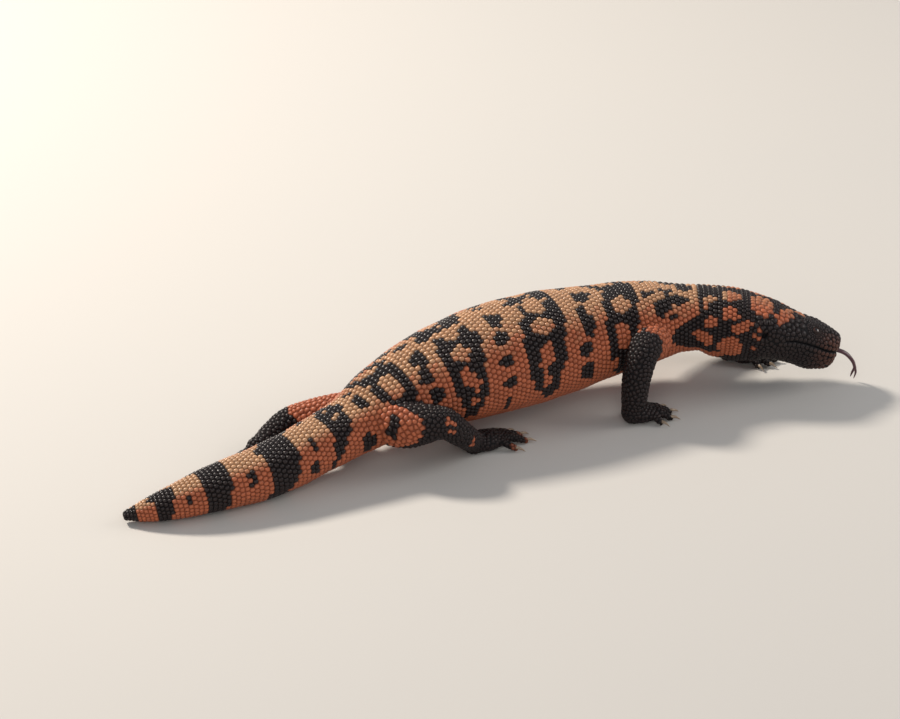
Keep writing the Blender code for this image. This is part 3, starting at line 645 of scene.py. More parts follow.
# The coat of beads
coat = {
    # place along the body and distance between beads
    "pitch": ((0, 2.0), (30, 2.5), (60, 2.85), (120, 3.0), (200, 3.2), (330, 3.2), (365, 3.1),
              (395, 2.75), (412, 2.65)),
    "rows": 0.97,           # distance between its rings, as a share
    "flankShare": 0.97,     # the same on the side of the body, as a share
    "bellyShare": 1.08,
    "throatShare": 0.84,    # and on the side of the neck
    "limbPitch": 2.35,
    "footPitch": 1.85,
    "crownPitch": ((0, 3.2), (20, 3.4), (36, 2.8), (50, 2.1)),
    "cheekPitch": 2.45,
    "throatPitch": 2.4,
    "lidPitch": 1.4,
    "rise": 0.41,           # height of a bead as a share of that distance
    "flankRise": 0.34,
    "bellyRise": 0.18,
    "headRise": 0.27,
    "limbRise": 0.34,
    "footRise": 0.28,
    "gap": 0.965,           # share of the way to its neighbours that a bead fills
    "farthest": 0.74,       # reach of a bead with no neighbour, as a share of its size
    "nearest": (0.70, 1.22),    # least and greatest reach of a bead, as shares of its mean
    "jitter": 0.03,         # how far a bead of the rings strays, as a share
    "ringChange": 0.045,    # change of girth that changes the number of beads in a ring
    "fills": ((150000, 4), (110000, 6)),    # places tried, rounds of pushing after them
    "room": 0.98,           # room that a filling bead needs, as a share of its size
    "push": (0.12, 0.34),   # how freely beads of the rings and filling beads move
    "wanted": 0.54,         # distance that beads push each other to, as a share of both sizes
    "lips": (2.1, 2.6, 3.0),    # distance of the lip plates from the mouth, size, step
    "lidRings": ((3.95, 18, 1.4), (5.25, 20, 1.65)),    # radius, number, size
    "soleHeight": 0.9,      # no beads under the soles below this
    "bare": {"mouth": 0.75, "eye": 0.5, "ear": 2.6, "nostril": 1.5},    # skin left free
    "parts": {"tail": (0.0, 215.0), "trunk": (215.0, 330.0), "head": (330.0, 600.0)},
    "patch": 0.0014,        # half the width of a bead's patch of the map
    "spokes": 8,
}


def toDrawing(points):
    return points * 1000 + (*shape["centre"], 0.0)


class Ground:
    # the skin as a surface to set beads on, in millimetres of the drawing
    def __init__(self, obj):
        self.spots = toDrawing(vertexTable(obj.data, "co"))
        self.normals = vertexTable(obj.data, "normal")
        self.faces = [tuple(face.vertices) for face in obj.data.polygons]
        self.tree = BVHTree.FromPolygons(self.spots.tolist(), self.faces)
        self.near = treeOf(self.spots)

    def snap(self, points):
        found = [self.tree.find_nearest(point) for point in points]
        spots = np.array([hit[0] for hit in found])
        ways = np.array([hit[1] for hit in found])
        far = np.array([hit[3] for hit in found])
        return spots, ways, far

    def smoothNormals(self, points, ways):
        made = np.empty_like(points)
        for row, (point, way) in enumerate(zip(points, ways)):
            close = [index for spot, index, far in self.near.find_n(point, 16)]
            normals = self.normals[close]
            normals = normals[normals @ way > 0.35]
            made[row] = normals.sum(axis=0) if len(normals) else way
        return unit(made)

    def scatter(self, number):
        corners = np.array([face[:3] for face in self.faces])
        a, b, c = (self.spots[corners[:, k]] for k in range(3))
        area = np.linalg.norm(np.cross(b - a, c - a), axis=1)
        pick = chance.choice(len(area), number, p=area / area.sum())
        u = chance.random((number, 2))
        u[u.sum(axis=1) > 1] = 1 - u[u.sum(axis=1) > 1]
        return a[pick] + u[:, :1] * (b - a)[pick] + u[:, 1:] * (c - a)[pick]


ground = Ground(skin)
print("ground ready", flush=True)


def bodyPlace(points):
    # place along the body and turn from the top in degrees, right side positive
    points = np.asarray(points, float)
    along = np.empty(len(points))
    for start in range(0, len(points), 4000):
        part = points[start:start + 4000]
        far = np.linalg.norm(part[:, None] - bodyLine.rows[None, :, :3], axis=2)
        along[start:start + 4000] = bodyLine.along[far.argmin(axis=1)]
    row, side, up, ahead = bodyLine.axes(along)
    along = along + dot(points - row[:, :3], ahead)[:, 0] * 0.8
    row, side, up, ahead = bodyLine.axes(along)
    off = points - row[:, :3]
    aside = dot(off, side)[:, 0] / row[:, 3]
    high = dot(off, up)[:, 0]
    high = high / np.where(high > 0, row[:, 4], row[:, 5])
    turn = np.degrees(np.arctan2(high, aside)) - 90
    return along, (turn + 180) % 360 - 180, ahead


def limbPlace(name, points):
    line = limbLines[name]
    far = np.linalg.norm(points[:, None] - line.rows[None, :, :3], axis=2)
    along = line.along[far.argmin(axis=1)]
    row, side, up, ahead = line.axes(along)
    off = points - row[:, :3]
    return along, np.degrees(np.arctan2(dot(off, up)[:, 0], dot(off, side)[:, 0]))


def bodyPitch(along, fromTop=0.0):
    flank = ramp(np.abs(fromTop), 45, 85)
    belly = ramp(np.abs(fromTop), 118, 145)
    share = 1.0 + (coat["flankShare"] - 1.0) * flank
    share = share + (coat["bellyShare"] - coat["flankShare"]) * belly
    share = share + (coat["throatShare"] - 1.0) * flank * ramp(along, 372, 392)
    return np.interp(along, *np.array(coat["pitch"]).T) * share


def ringLattice(line, start, end, skinDepth):
    # rings of points, each shifted by half a step from the last, denser on the flanks
    spots = []
    count = 0
    along = start
    row = 0
    around = np.linspace(0, 2 * math.pi, 361)
    fromTop = (90 - np.degrees(around) + 180) % 360 - 180
    while along < end:
        ring = line.place(along, around, -skinDepth)[0]
        steps = np.linalg.norm(np.diff(ring, axis=0), axis=1)
        density = steps / bodyPitch(along, 0.5 * (fromTop[1:] + fromTop[:-1]))
        share = np.concatenate(([0], np.cumsum(density)))
        if count == 0 or abs(share[-1] - count) > coat["ringChange"] * count:
            count = max(6, round(float(share[-1])))
        # counted from the middle of the back, so that the rings fit together there
        top = np.interp(math.pi / 2, around, share) / share[-1]
        places = (np.arange(count) + 0.5 * (row % 2)) / count + top
        turns = np.interp((places % 1.0) * share[-1], share, around)
        step = bodyPitch(along)
        jitter = chance.normal(0, coat["jitter"], (count, 2)) * step
        size = line.read(line.rows, along)[3]
        spots.append(line.place(along + jitter[:, 0], turns + jitter[:, 1] / size, -skinDepth)[0])
        along += coat["rows"] * step
        row += 1
    return np.vstack(spots)


class Coat:
    # accepted beads with a grid for finding close ones
    def __init__(self):
        self.spots = []
        self.ways = []
        self.sizes = []
        self.kinds = []
        self.cells = {}

    def clear(self, spot, distance):
        x, y, z = (int(math.floor(c / 4.0)) for c in spot)
        for i in (x - 1, x, x + 1):
            for j in (y - 1, y, y + 1):
                for k in (z - 1, z, z + 1):
                    for index in self.cells.get((i, j, k), ()):
                        other = self.spots[index]
                        gap = ((spot[0] - other[0]) ** 2 + (spot[1] - other[1]) ** 2
                               + (spot[2] - other[2]) ** 2)
                        if gap < (0.5 * (distance + self.sizes[index] * 0.8)) ** 2:
                            return False
        return True

    def note(self, spot, index):
        self.cells.setdefault(tuple(int(math.floor(c / 4.0)) for c in spot), []).append(index)

    def move(self, spots, ways):
        self.spots = [tuple(spot) for spot in spots]
        self.ways = [tuple(way) for way in ways]
        self.cells = {}
        for index, spot in enumerate(self.spots):
            self.note(spot, index)

    def add(self, spot, way, size, kind):
        self.note(spot, len(self.spots))
        self.spots.append(tuple(spot))
        self.ways.append(tuple(way))
        self.sizes.append(size)
        self.kinds.append(kind)


beads = Coat()


def offer(points, sizes, kind, reachSkin, spacing):
    spots, ways, far = ground.snap(points)
    for spot, way, gap, size in zip(spots, ways, far, sizes):
        if gap > reachSkin or (spot[2] < coat["soleHeight"] and way[2] < -0.6):
            continue
        if beads.clear(spot, spacing * size):
            beads.add(spot, way, size, kind)


def besideMouth():
    # plates along both lips
    away, size, step = coat["lips"]
    for shift in (away, -away):
        spots, ways = mouthPath(shift, 60)
        steps = np.concatenate(([0], np.cumsum(np.linalg.norm(np.diff(spots, axis=0), axis=1))))
        count = round(steps[-1] / step)
        wanted = (np.arange(count) + 0.5) / count * steps[-1]
        places = np.stack([np.interp(wanted, steps, spots[:, k]) for k in range(3)], axis=1)
        offer(places, np.full(count, size), "lip", 1.5, 0.6)


besideMouth()
for side in ("left", "right"):
    middle, across, high, outward = eyeAxes(side)
    for radius, count, size in coat["lidRings"]:
        turns = 2 * math.pi * np.arange(count) / count
        ring = middle + outward * 2.0 + radius * (np.outer(np.cos(turns), across)
                                                  + np.outer(np.sin(turns), high))
        offer(ring, np.full(count, size), "lid", 2.5, 0.6)
bodySpots = ringLattice(bodyLine, 1.2, headAt - 5, skinForm["depth"])
offer(bodySpots, bodyPitch(*bodyPlace(bodySpots)[:2]), "body", 1.3, 0.72)
print("lattice", len(beads.spots), flush=True)


def nearestFoot(points):
    best = np.full(len(points), 1e9)
    which = np.zeros(len(points), int)
    for index, name in enumerate(shape["feet"]):
        palm = palmAxes(name)[0]
        far = np.linalg.norm(points - palm, axis=1)
        which[far < best] = index
        best = np.minimum(far, best)
    return best, which


def localPitch(points, along, fromTop):
    far, which = nearestFoot(points)
    ahead = along - headAt
    crown = np.interp(ahead, *np.array(coat["crownPitch"]).T)
    flank = np.clip((np.abs(fromTop) - 55) / 30, 0, 1)
    under = np.clip((np.abs(fromTop) - 105) / 25, 0, 1)
    pitch = crown * (1 - flank) + coat["cheekPitch"] * flank
    pitch = pitch * (1 - under) + coat["throatPitch"] * under
    pitch = np.where(ahead > 40, np.minimum(pitch, 2.7), pitch)
    eyes = np.minimum(*[np.linalg.norm(points - eyeMiddle(side)[0], axis=1)
                        for side in ("left", "right")])
    small = coat["lidPitch"]
    pitch = np.where(eyes < 9, small + (pitch - small) * ramp(eyes, 4, 9), pitch)
    pitch = np.where(ahead < -5, bodyPitch(along, fromTop), pitch)
    off = bodyLine.read(bodyLine.rows, along)[:, :3] - points
    limb = (np.linalg.norm(off, axis=1) > 36) | (far < 34)
    leg = coat["footPitch"] + (coat["limbPitch"] - coat["footPitch"]) * ramp(points[:, 2], 8, 16)
    return np.where(limb, leg, pitch)


def hidden(points, ways):
    # places inside the mouth, an eye socket, an ear or a nostril, or under a sole
    inside = (points[:, 2] < coat["soleHeight"]) & (ways[:, 2] < -0.6)
    off = points - headStart
    along = dot(off, headAhead)[:, 0]
    high = dot(off, headUp)[:, 0]
    over = np.abs(high - mouthHeight(along))
    bare = coat["bare"]
    inside |= (along > 12.5) & (over < bare["mouth"])
    for side in ("left", "right"):
        middle = eyeMiddle(side)[0]
        inside |= np.linalg.norm(points - middle, axis=1) < skinForm["eyeRadius"] + bare["eye"]
        for place in ("ear", "nostril"):
            turn = sided(side, skinForm[place + "Turn"])
            hole = headPlace(skinForm[place + "Along"], turn, -0.6)[0]
            inside |= np.linalg.norm(points - hole, axis=1) < bare[place]
    return inside


def fillGaps(number):
    # beads wherever there is room: on the head, the feet and the limbs
    spots, ways, far = ground.snap(ground.scatter(number))
    along, fromTop, ahead = bodyPlace(spots)
    pitch = localPitch(spots, along, fromTop)
    shown = ~hidden(spots, ways)
    for spot, way, size, ok in zip(spots, ways, pitch, shown):
        if ok and beads.clear(spot, coat["room"] * size):
            beads.add(spot, way, size, "fill")


def relax(first, rounds):
    # beads push each other apart along the skin, those of the lattice only a little
    spots = np.array(beads.spots)
    sizes = np.array(beads.sizes)
    ways = np.array(beads.ways)
    free = np.where(np.arange(len(spots)) < first, *coat["push"])
    free[[kind in ("lip", "lid") for kind in beads.kinds]] = 0.0
    for turn in range(rounds):
        tree = treeOf(spots)
        near = np.array([[which for _, which, _ in tree.find_n(spot, 9)][1:] for spot in spots])
        off = spots[:, None] - spots[near]
        far = np.maximum(np.linalg.norm(off, axis=2), 0.1)
        wanted = coat["wanted"] * (sizes[:, None] + sizes[near])
        push = (off / far[..., None] * np.maximum(wanted - far, 0)[..., None]).sum(axis=1)
        fixed, newWays, gaps = ground.snap(spots + free[:, None] * push)
        keep = ~hidden(fixed, newWays) & (gaps < 1.5)
        spots[keep] = fixed[keep]
        ways[keep] = newWays[keep]
    beads.move(spots, ways)
    return spots, ways, sizes


first = len(beads.spots)
for number, rounds in coat["fills"]:
    fillGaps(number)
    spots, ways, sizes = relax(first, rounds)
kinds = np.array(beads.kinds)
normals = ground.smoothNormals(spots, ways)
print("beads", len(spots), flush=True)


along, fromTop, ahead = bodyPlace(spots)
axisA = unit(ahead - normals * dot(ahead, normals))
axisB = np.cross(normals, axisA)


def outlines():
    # how far each bead reaches towards eight sides, from the beads round it
    tree = treeOf(spots)
    angles = 2 * math.pi * np.arange(coat["spokes"]) / coat["spokes"]
    sides = np.stack((np.cos(angles), np.sin(angles)), axis=1)
    reaches = np.empty((len(spots), coat["spokes"]))
    for index in range(len(spots)):
        size = sizes[index]
        found = [(which, far) for _, which, far in tree.find_n(spots[index], 10)
                 if which != index and far < 2.1 * size]
        reach = np.full(coat["spokes"], coat["farthest"] * size)
        if kinds[index] == "lip":
            reach[:] = 0.6 * size
        if found:
            which = [item[0] for item in found]
            off = spots[which] - spots[index]
            flat = np.stack((off @ axisA[index], off @ axisB[index]), axis=1)
            far = np.maximum(np.linalg.norm(off, axis=1), 0.2)
            way = flat / np.maximum(np.linalg.norm(flat, axis=1, keepdims=True), 1e-6)
            share = size / (size + sizes[which])
            facing = sides @ way.T
            limit = np.where(facing > 0.25, far * share / np.maximum(facing, 0.25), 1e9)
            reach = np.minimum(reach, limit.min(axis=1))
        mean = reach.mean()
        least, most = coat["nearest"]
        reaches[index] = np.clip(reach, least * mean, most * mean) * coat["gap"]
    return reaches


reaches = outlines()
meanReach = reaches.mean(axis=1)


class Value:
    # a socket that takes part in ordinary sums
    def __init__(self, book, socket):
        self.book = book
        self.socket = socket

    def __add__(self, other):
        return self.book.maths("ADD", self, other)

    def __radd__(self, other):
        return self.book.maths("ADD", other, self)

    def __rsub__(self, other):
        return self.book.maths("SUBTRACT", other, self)

    def __mul__(self, other):
        return self.book.maths("MULTIPLY", self, other)

    def __rmul__(self, other):
        return self.book.maths("MULTIPLY", other, self)


class Book:
    # one node tree, written as calls
    def __init__(self, tree):
        self.tree = tree

    def node(self, kind, settings=None, sockets=None, output=0):
        made = self.tree.nodes.new(kind)
        for key, value in (settings or {}).items():
            setattr(made, key, value)
        for key, value in (sockets or {}).items():
            if isinstance(key, int):
                socket = made.inputs[key]
            else:
                socket = next(s for s in made.inputs if s.name == key and s.enabled)
            self.join(value, socket)
        if isinstance(output, str):
            socket = next(s for s in made.outputs if s.name == output and s.enabled)
        else:
            socket = [s for s in made.outputs if s.enabled][output] if made.outputs else None
        return Value(self, socket)

    def join(self, value, socket):
        if isinstance(value, Value):
            self.tree.links.new(value.socket, socket)
        elif value is not None:
            socket.default_value = value

    def maths(self, operation, *values):
        return self.node("ShaderNodeMath", {"operation": operation}, dict(enumerate(values)))

    def vectorMaths(self, operation, first, second=None, scale=None):
        sockets = {0: first}
        if second is not None:
            sockets[1] = second
        if scale is not None:
            sockets["Scale"] = scale
        return self.node("ShaderNodeVectorMath", {"operation": operation}, sockets)

    def mix(self, share, first, second):
        return self.node("ShaderNodeMix", {"data_type": "RGBA"},
                         {"Factor": share, "A": first, "B": second})


def linear(red, green, blue):
    return (red, green, blue, 1.0)


class Finish(Book):
    # a material with its shader, and the inputs that its colours are made from
    def __init__(self, name):
        made = bpy.data.materials.new(name)
        made.use_nodes = True
        super().__init__(made.node_tree)
        self.material = made
        self.shader = made.node_tree.nodes["Principled BSDF"]
        self.place = self.node("ShaderNodeTexCoord", output="Object")

    def attribute(self, name):
        return self.node("ShaderNodeAttribute", {"attribute_name": name}, output="Fac")

    def noise(self, scale, detail=3.0):
        sockets = {"Vector": self.place, "Scale": scale, "Detail": detail}
        return self.node("ShaderNodeTexNoise", {}, sockets)

    def set(self, **sockets):
        for key, value in sockets.items():
            self.join(value, self.shader.inputs[key.replace("_", " ")])

    def bump(self, height, distance):
        self.set(Normal=self.node("ShaderNodeBump", {}, {"Height": height, "Distance": distance}))


beadLook = {
    # painted light: the pale beads' colour as lit on the back, and the same colour as shaded on
    # the flanks
    "paintedLitCream": linear(0.66, 0.40, 0.21),
    "salmon": linear(0.49, 0.130, 0.054),
    "black": linear(0.0095, 0.0042, 0.0046),
    "brown": linear(0.050, 0.017, 0.010),
    "ruddy": linear(0.11, 0.038, 0.022),    # the black of the snout
    "rim": 0.40,            # painted shade and dirt: how much darker the foot of a bead is
    "roughness": 0.38,
}


def beadMaterial():
    look = Finish("beads")
    warm = look.attribute("warm")
    dark = look.attribute("dark")
    tint = look.attribute("tint")
    level = look.attribute("level")
    ruddy = look.attribute("ruddy")
    # painted light: pale beads are lit cream on the back and shaded salmon on the flanks
    pale = look.mix(warm, beadLook["paintedLitCream"], beadLook["salmon"])
    pale = look.vectorMaths("SCALE", pale, scale=0.80 + 0.36 * tint)
    speck = look.noise(700.0)
    pale = look.mix(0.22 * speck, pale, beadLook["brown"])
    black = look.mix(0.35 * tint * speck, beadLook["black"], beadLook["brown"])
    black = look.mix(ruddy, black, beadLook["ruddy"])
    colour = look.mix(dark, pale, black)
    # painted shade and dirt darken the foot of each bead, where the beads meet
    footShadeAndDirt = 1.0 - beadLook["rim"] * level * level
    colour = look.vectorMaths("SCALE", colour, scale=footShadeAndDirt)
    roughness = beadLook["roughness"] + 0.14 * look.noise(1500.0) + 0.1 * level
    look.set(Base_Color=colour, Roughness=roughness, Coat_Weight=0.48 - 0.42 * warm,
             Coat_Roughness=0.18, Specular_IOR_Level=0.32)
    look.bump(look.noise(2600.0, 4.0), 0.00006)
    return look.material


def skinMaterial():
    look = Finish("skin")
    warm = look.attribute("warm")
    dark = look.attribute("dark")
    # painted light: the skin between pale beads is lighter on the lit back and shaded on the
    # flanks
    pale = look.mix(warm, linear(0.34, 0.18, 0.09), linear(0.25, 0.07, 0.035))
    colour = look.mix(dark, pale, linear(0.007, 0.006, 0.007))
    grain = look.noise(900.0, 4.0)
    colour = look.vectorMaths("SCALE", colour, scale=0.6 + 0.7 * grain)
    look.set(Base_Color=colour, Roughness=0.60 + 0.2 * look.noise(400.0),
             Specular_IOR_Level=0.18)
    look.bump(grain, 0.00015)
    return look.material


def beadPrototype():
    # a dome on eight spokes; its points keep their level, spoke and place in the unit disc
    levels = ((0.52, 0.83, 0.30), (0.86, 0.42, 0.72), (1.0, -0.04, 1.0), (0.97, -0.35, 1.0))
    points = [(0.0, 0.0, 1.0)]
    level = [0.0]
    spoke = [0]
    for reach, height, depth in levels:
        for k in range(coat["spokes"]):
            angle = 2 * math.pi * k / coat["spokes"]
            points.append((reach * math.cos(angle), reach * math.sin(angle), height))
            level.append(depth)
            spoke.append(k)
    count = coat["spokes"]
    faces = []
    for k in range(count):
        beside = (k + 1) % count
        faces.append((0, 1 + k, 1 + beside))
        for ring in range(len(levels) - 1):
            a = 1 + ring * count + k
            b = 1 + ring * count + beside
            faces.append((a, a + count, b + count, b))
    last = 1 + (len(levels) - 1) * count
    faces.append(tuple(range(last + count - 1, last - 1, -1)))
    mesh = bpy.data.meshes.new("bead")
    mesh.from_pydata(points, [], faces)
    store(mesh, "local", np.array(points).ravel(), "FLOAT_VECTOR")
    store(mesh, "level", level)
    store(mesh, "spoke", spoke, "INT")
    mesh.shade_smooth()
    made = linkObject("bead", mesh)
    made.hide_render = True
    return made


def beadTree():
    tree = bpy.data.node_groups.new("bead coat", "GeometryNodeTree")
    tree.is_modifier = True
    face = tree.interface
    face.new_socket("Geometry", in_out="INPUT", socket_type="NodeSocketGeometry")
    face.new_socket("Bead", in_out="INPUT", socket_type="NodeSocketObject")
    face.new_socket("Finish", in_out="INPUT", socket_type="NodeSocketMaterial")
    face.new_socket("Patch", in_out="INPUT", socket_type="NodeSocketFloat")
    face.new_socket("Geometry", in_out="OUTPUT", socket_type="NodeSocketGeometry")
    book = Book(tree)
    entry = tree.nodes.new("NodeGroupInput")
    inputs = [Value(book, socket) for socket in entry.outputs]
    geometry, bead, finish, patch = inputs[:4]

    def named(name, kind="FLOAT"):
        return book.node("GeometryNodeInputNamedAttribute", {"data_type": kind}, {"Name": name},
                         output="Attribute")

    source = book.node("GeometryNodeObjectInfo", {}, {"Object": bead}, output="Geometry")
    placed = book.node("GeometryNodeInstanceOnPoints", {},
                       {"Points": geometry, "Instance": source})
    real = book.node("GeometryNodeRealizeInstances", {}, {"Geometry": placed})
    choice = tree.nodes.new("GeometryNodeIndexSwitch")
    choice.data_type = "FLOAT"
    while len(choice.index_switch_items) < coat["spokes"]:
        choice.index_switch_items.new()
    book.join(named("spoke", "INT"), choice.inputs["Index"])
    for k in range(coat["spokes"]):
        book.join(named("reach%d" % k), choice.inputs[str(k)])
    reach = Value(book, choice.outputs[0])
    local = named("local", "FLOAT_VECTOR")
    parts = tree.nodes.new("ShaderNodeSeparateXYZ")
    book.join(local, parts.inputs[0])
    x, y, z = (Value(book, socket) for socket in parts.outputs)
    place = named("root", "FLOAT_VECTOR")
    for axis, share in (("axisA", x * reach), ("axisB", y * reach), ("normal", z * named("rise"))):
        step = book.vectorMaths("SCALE", named(axis, "FLOAT_VECTOR"), scale=share)
        place = book.vectorMaths("ADD", place, step)
    moved = book.node("GeometryNodeSetPosition", {}, {"Geometry": real, "Position": place})
    flat = book.node("ShaderNodeCombineXYZ", {}, {0: x, 1: y})
    spread = book.vectorMaths("ADD", named("patch", "FLOAT_VECTOR"),
                              book.vectorMaths("SCALE", flat, scale=patch))
    mapped = book.node("GeometryNodeStoreNamedAttribute", {"data_type": "FLOAT2",
                                                           "domain": "CORNER"},
                       {"Geometry": moved, "Name": "OFBake", "Value": spread})
    finished = book.node("GeometryNodeSetMaterial", {}, {"Geometry": mapped, "Material": finish})
    leave = tree.nodes.new("NodeGroupOutput")
    book.join(finished, leave.inputs[0])
    return tree


def inputName(tree, name):
    return next(item.identifier for item in tree.interface.items_tree
                if item.item_type == "SOCKET" and item.in_out == "INPUT" and item.name == name)


limbNames = list(limbLines)
limbOf = np.full(len(spots), -1)
limbAlong = np.zeros(len(spots))
limbTurn = np.zeros(len(spots))
footFar, footWhich = nearestFoot(spots)
for index, name in enumerate(limbNames):
    where, turn = limbPlace(name, spots)
    row = limbLines[name].read(limbLines[name].rows, where)
    off = np.linalg.norm(spots - row[:, :3], axis=1)
    own = (off < row[:, 3] + 2.5) & (where > 9) & (kinds == "fill") & (along < napeAt + 10)
    footName = list(shape["feet"]).index(name)
    own |= (footWhich == footName) & (footFar < 34) & (spots[:, 2] < 14) & (kinds == "fill")
    limbOf[own] = index
    limbAlong[own] = where[own]
    limbTurn[own] = turn[own]


dark = bodyDark(along, fromTop).astype(float)
for index, name in enumerate(limbNames):
    own = limbOf == index
    dark[own] = limbDark(name, limbAlong[own], limbTurn[own])
palm, ahead, left, heading = palmAxes("hindRight")
tips = [palm[:2] + reach * direction(heading + angle)[:2] for angle, reach in shape["hindToes"]]
tipFar = np.min([np.linalg.norm(spots[:, :2] - tip, axis=1) for tip in tips], axis=0)
dark[(tipFar < 2.6) & (limbOf >= 0)] = 0.55
# single pale beads on the cheek and the crown
for s, a in marks["dots"]:
    place = bodyLine.place(s, math.radians(90 + a))[0]
    dark[np.linalg.norm(spots - place, axis=1).argmin()] = 0.15
onBody = limbOf < 0
onHead = onBody & (along >= napeAt)
size = np.abs(fromTop)
# painted light: 0 gives the lit cream of the back and 1 the shaded salmon of the flanks, with a
# random spread per bead; the head and the limbs take mostly the shaded tone
warm = 0.25 + 0.75 * ramp(size + chance.normal(0, 5, len(spots)), 18, 58)
warm = np.where(along < 150, 0.20 + 0.80 * ramp(size, 22, 52), warm)
warm = np.where(onHead, 0.70 + 0.3 * ramp(size, 5, 45), warm)
warm = np.where(limbOf >= 0, 1.0, warm)
tint = np.clip(chance.normal(0.5, 0.2, len(spots)), 0, 1)
ruddy = 0.75 * ramp(along - headAt, 30, 46) * ramp(size, 25, 60) * onHead
ruddy = ruddy * np.clip(chance.normal(1.0, 0.3, len(spots)), 0, 1)
rise = sizes * (coat["rise"] + (coat["flankRise"] - coat["rise"]) * ramp(size, 40, 75))
under = ramp(size, 108, 135)
rise = np.where(onBody & ~onHead, rise * (1 - under) + sizes * coat["bellyRise"] * under, rise)
crown = coat["rise"] + (coat["headRise"] - coat["rise"]) * ramp(along, napeAt, headAt + 6)
rise = np.where(onHead, sizes * crown, rise)
leg = coat["footRise"] + (coat["limbRise"] - coat["footRise"]) * ramp(spots[:, 2], 8, 16)
rise = np.where(onBody, rise, sizes * leg)
rise = np.minimum(rise, 0.95 * meanReach)


def patches():
    # the middle of each bead's patch on an unwrap of the body and of each limb
    u = 0.01 + 0.98 * along / bodyLine.length
    v = 0.01 + 0.70 * (fromTop + 180) / 360
    for index, name in enumerate(limbNames):
        own = limbOf == index
        length = limbLines[name].length + 30
        palm, ahead, left, heading = palmAxes(name)
        beyond = np.maximum(dot(spots - palm, ahead)[:, 0], 0)
        where = np.where(spots[:, 2] < 12, limbLines[name].length * 0.9 + beyond, limbAlong)
        u = np.where(own, 0.01 + 0.25 * index + 0.22 * np.clip(where / length, 0, 1), u)
        turn = (limbTurn + 360) % 360 / 360
        v = np.where(own, 0.74 + 0.24 * turn, v)
    return np.stack((np.clip(u, 0.003, 0.997), np.clip(v, 0.003, 0.997), 0 * u), axis=1)


patch = patches()
bead = beadPrototype()
tree = beadTree()
finishBeads = beadMaterial()


def coatPiece(name, chosen):
    mesh = bpy.data.meshes.new(name)
    mesh.from_pydata(toMetres(spots[chosen]).tolist(), [], [])
    vectors = {"root": toMetres(spots[chosen]), "axisA": axisA[chosen], "axisB": axisB[chosen],
               "normal": normals[chosen], "patch": patch[chosen]}
    numbers = {"rise": rise[chosen] * 0.001, "dark": dark[chosen], "warm": warm[chosen],
               "tint": tint[chosen], "ruddy": ruddy[chosen]}
    for k in range(coat["spokes"]):
        numbers["reach%d" % k] = reaches[chosen, k] * 0.001
    for key, value in vectors.items():
        store(mesh, key, value.ravel(), "FLOAT_VECTOR")
    for key, value in numbers.items():
        store(mesh, key, value)
    made = linkObject(name, mesh)
    step = made.modifiers.new("coat", "NODES")
    step.node_group = tree
    step[inputName(tree, "Bead")] = bead
    step[inputName(tree, "Finish")] = finishBeads
    step[inputName(tree, "Patch")] = coat["patch"]
    graph = bpy.context.evaluated_depsgraph_get()
    baked = bpy.data.meshes.new_from_object(made.evaluated_get(graph))
    made.modifiers.remove(step)
    made.data = baked
    bpy.data.meshes.remove(mesh)
    spare = [*vectors, "rise", "local", "spoke"]
    spare += ["reach%d" % k for k in range(coat["spokes"])]
    for key in spare:
        found = baked.attributes.get(key)
        if found is not None:
            baked.attributes.remove(found)
    baked.name = name
    print(name, len(chosen), len(baked.polygons), flush=True)
    return made


right = fromTop > 0
sides = {}
for part, (low, high) in coat["parts"].items():
    here = (along >= low) & (along < high)
    sides["coat_%s_right" % part] = here & right
    sides["coat_%s_left" % part] = here & ~right
coatPieces = [coatPiece(name, np.flatnonzero(chosen)) for name, chosen in sides.items()]
removeObject(bead)

# the skin takes its markings from the nearest bead
beadsNear = treeOf(spots)
near = [beadsNear.find(spot)[1] for spot in toDrawing(vertexTable(skin.data, "co"))]
store(skin.data, "dark", dark[near])
store(skin.data, "warm", warm[near])
skin.data.materials.append(skinMaterial())
print("coat ready", flush=True)


# Eyes, tongue and claws
def glossy(name, colour, roughness, scale, second):
    look = Finish(name)
    colour = look.mix(look.noise(scale), colour, second)
    look.set(Base_Color=colour, Roughness=roughness + 0.04 * look.noise(scale * 2),
             Coat_Weight=0.5)
    return look.material


eyeForm = {
    "pupil": 0.34,          # angles from the middle of the eye
    "iris": 0.62,
    "opening": (2.0, 1.5),  # half length and half height of the opening between the lids
    "lid": 0.42,            # how far the lids stand over the eye
    "edge": 0.5,            # how thick their edge is
}


def eyeMaterial():
    look = Finish("eye")
    ring = look.attribute("ring")
    fibres = look.noise(1800.0, 4.0)
    iris = look.mix(fibres, linear(0.075, 0.022, 0.010), linear(0.030, 0.009, 0.005))
    black = linear(0.003, 0.002, 0.002)
    inside = look.maths("GREATER_THAN", ring, eyeForm["pupil"])
    outside = look.maths("GREATER_THAN", ring, eyeForm["iris"])
    colour = look.mix(inside, black, iris)
    colour = look.mix(outside, colour, linear(0.012, 0.006, 0.005))
    look.set(Base_Color=colour, Roughness=0.06, Coat_Weight=0.6)
    return look.material


def makeEyes():
    finish = eyeMaterial()
    made = []
    for side in ("left", "right"):
        middle, across, high, outward = eyeAxes(side)
        sizes = np.full(3, skinForm["eyeRadius"])
        points, faces = ball(middle, sizes, (across, high, outward), 48, 30)
        piece = joinMeshes("shown_eye_" + side, [(points, faces)])
        ring = np.arccos(np.clip((points - middle) @ outward / skinForm["eyeRadius"], -1, 1))
        store(piece.data, "ring", ring)
        piece.data.shade_smooth()
        piece.data.materials.append(finish)
        made.append(piece)
    return made


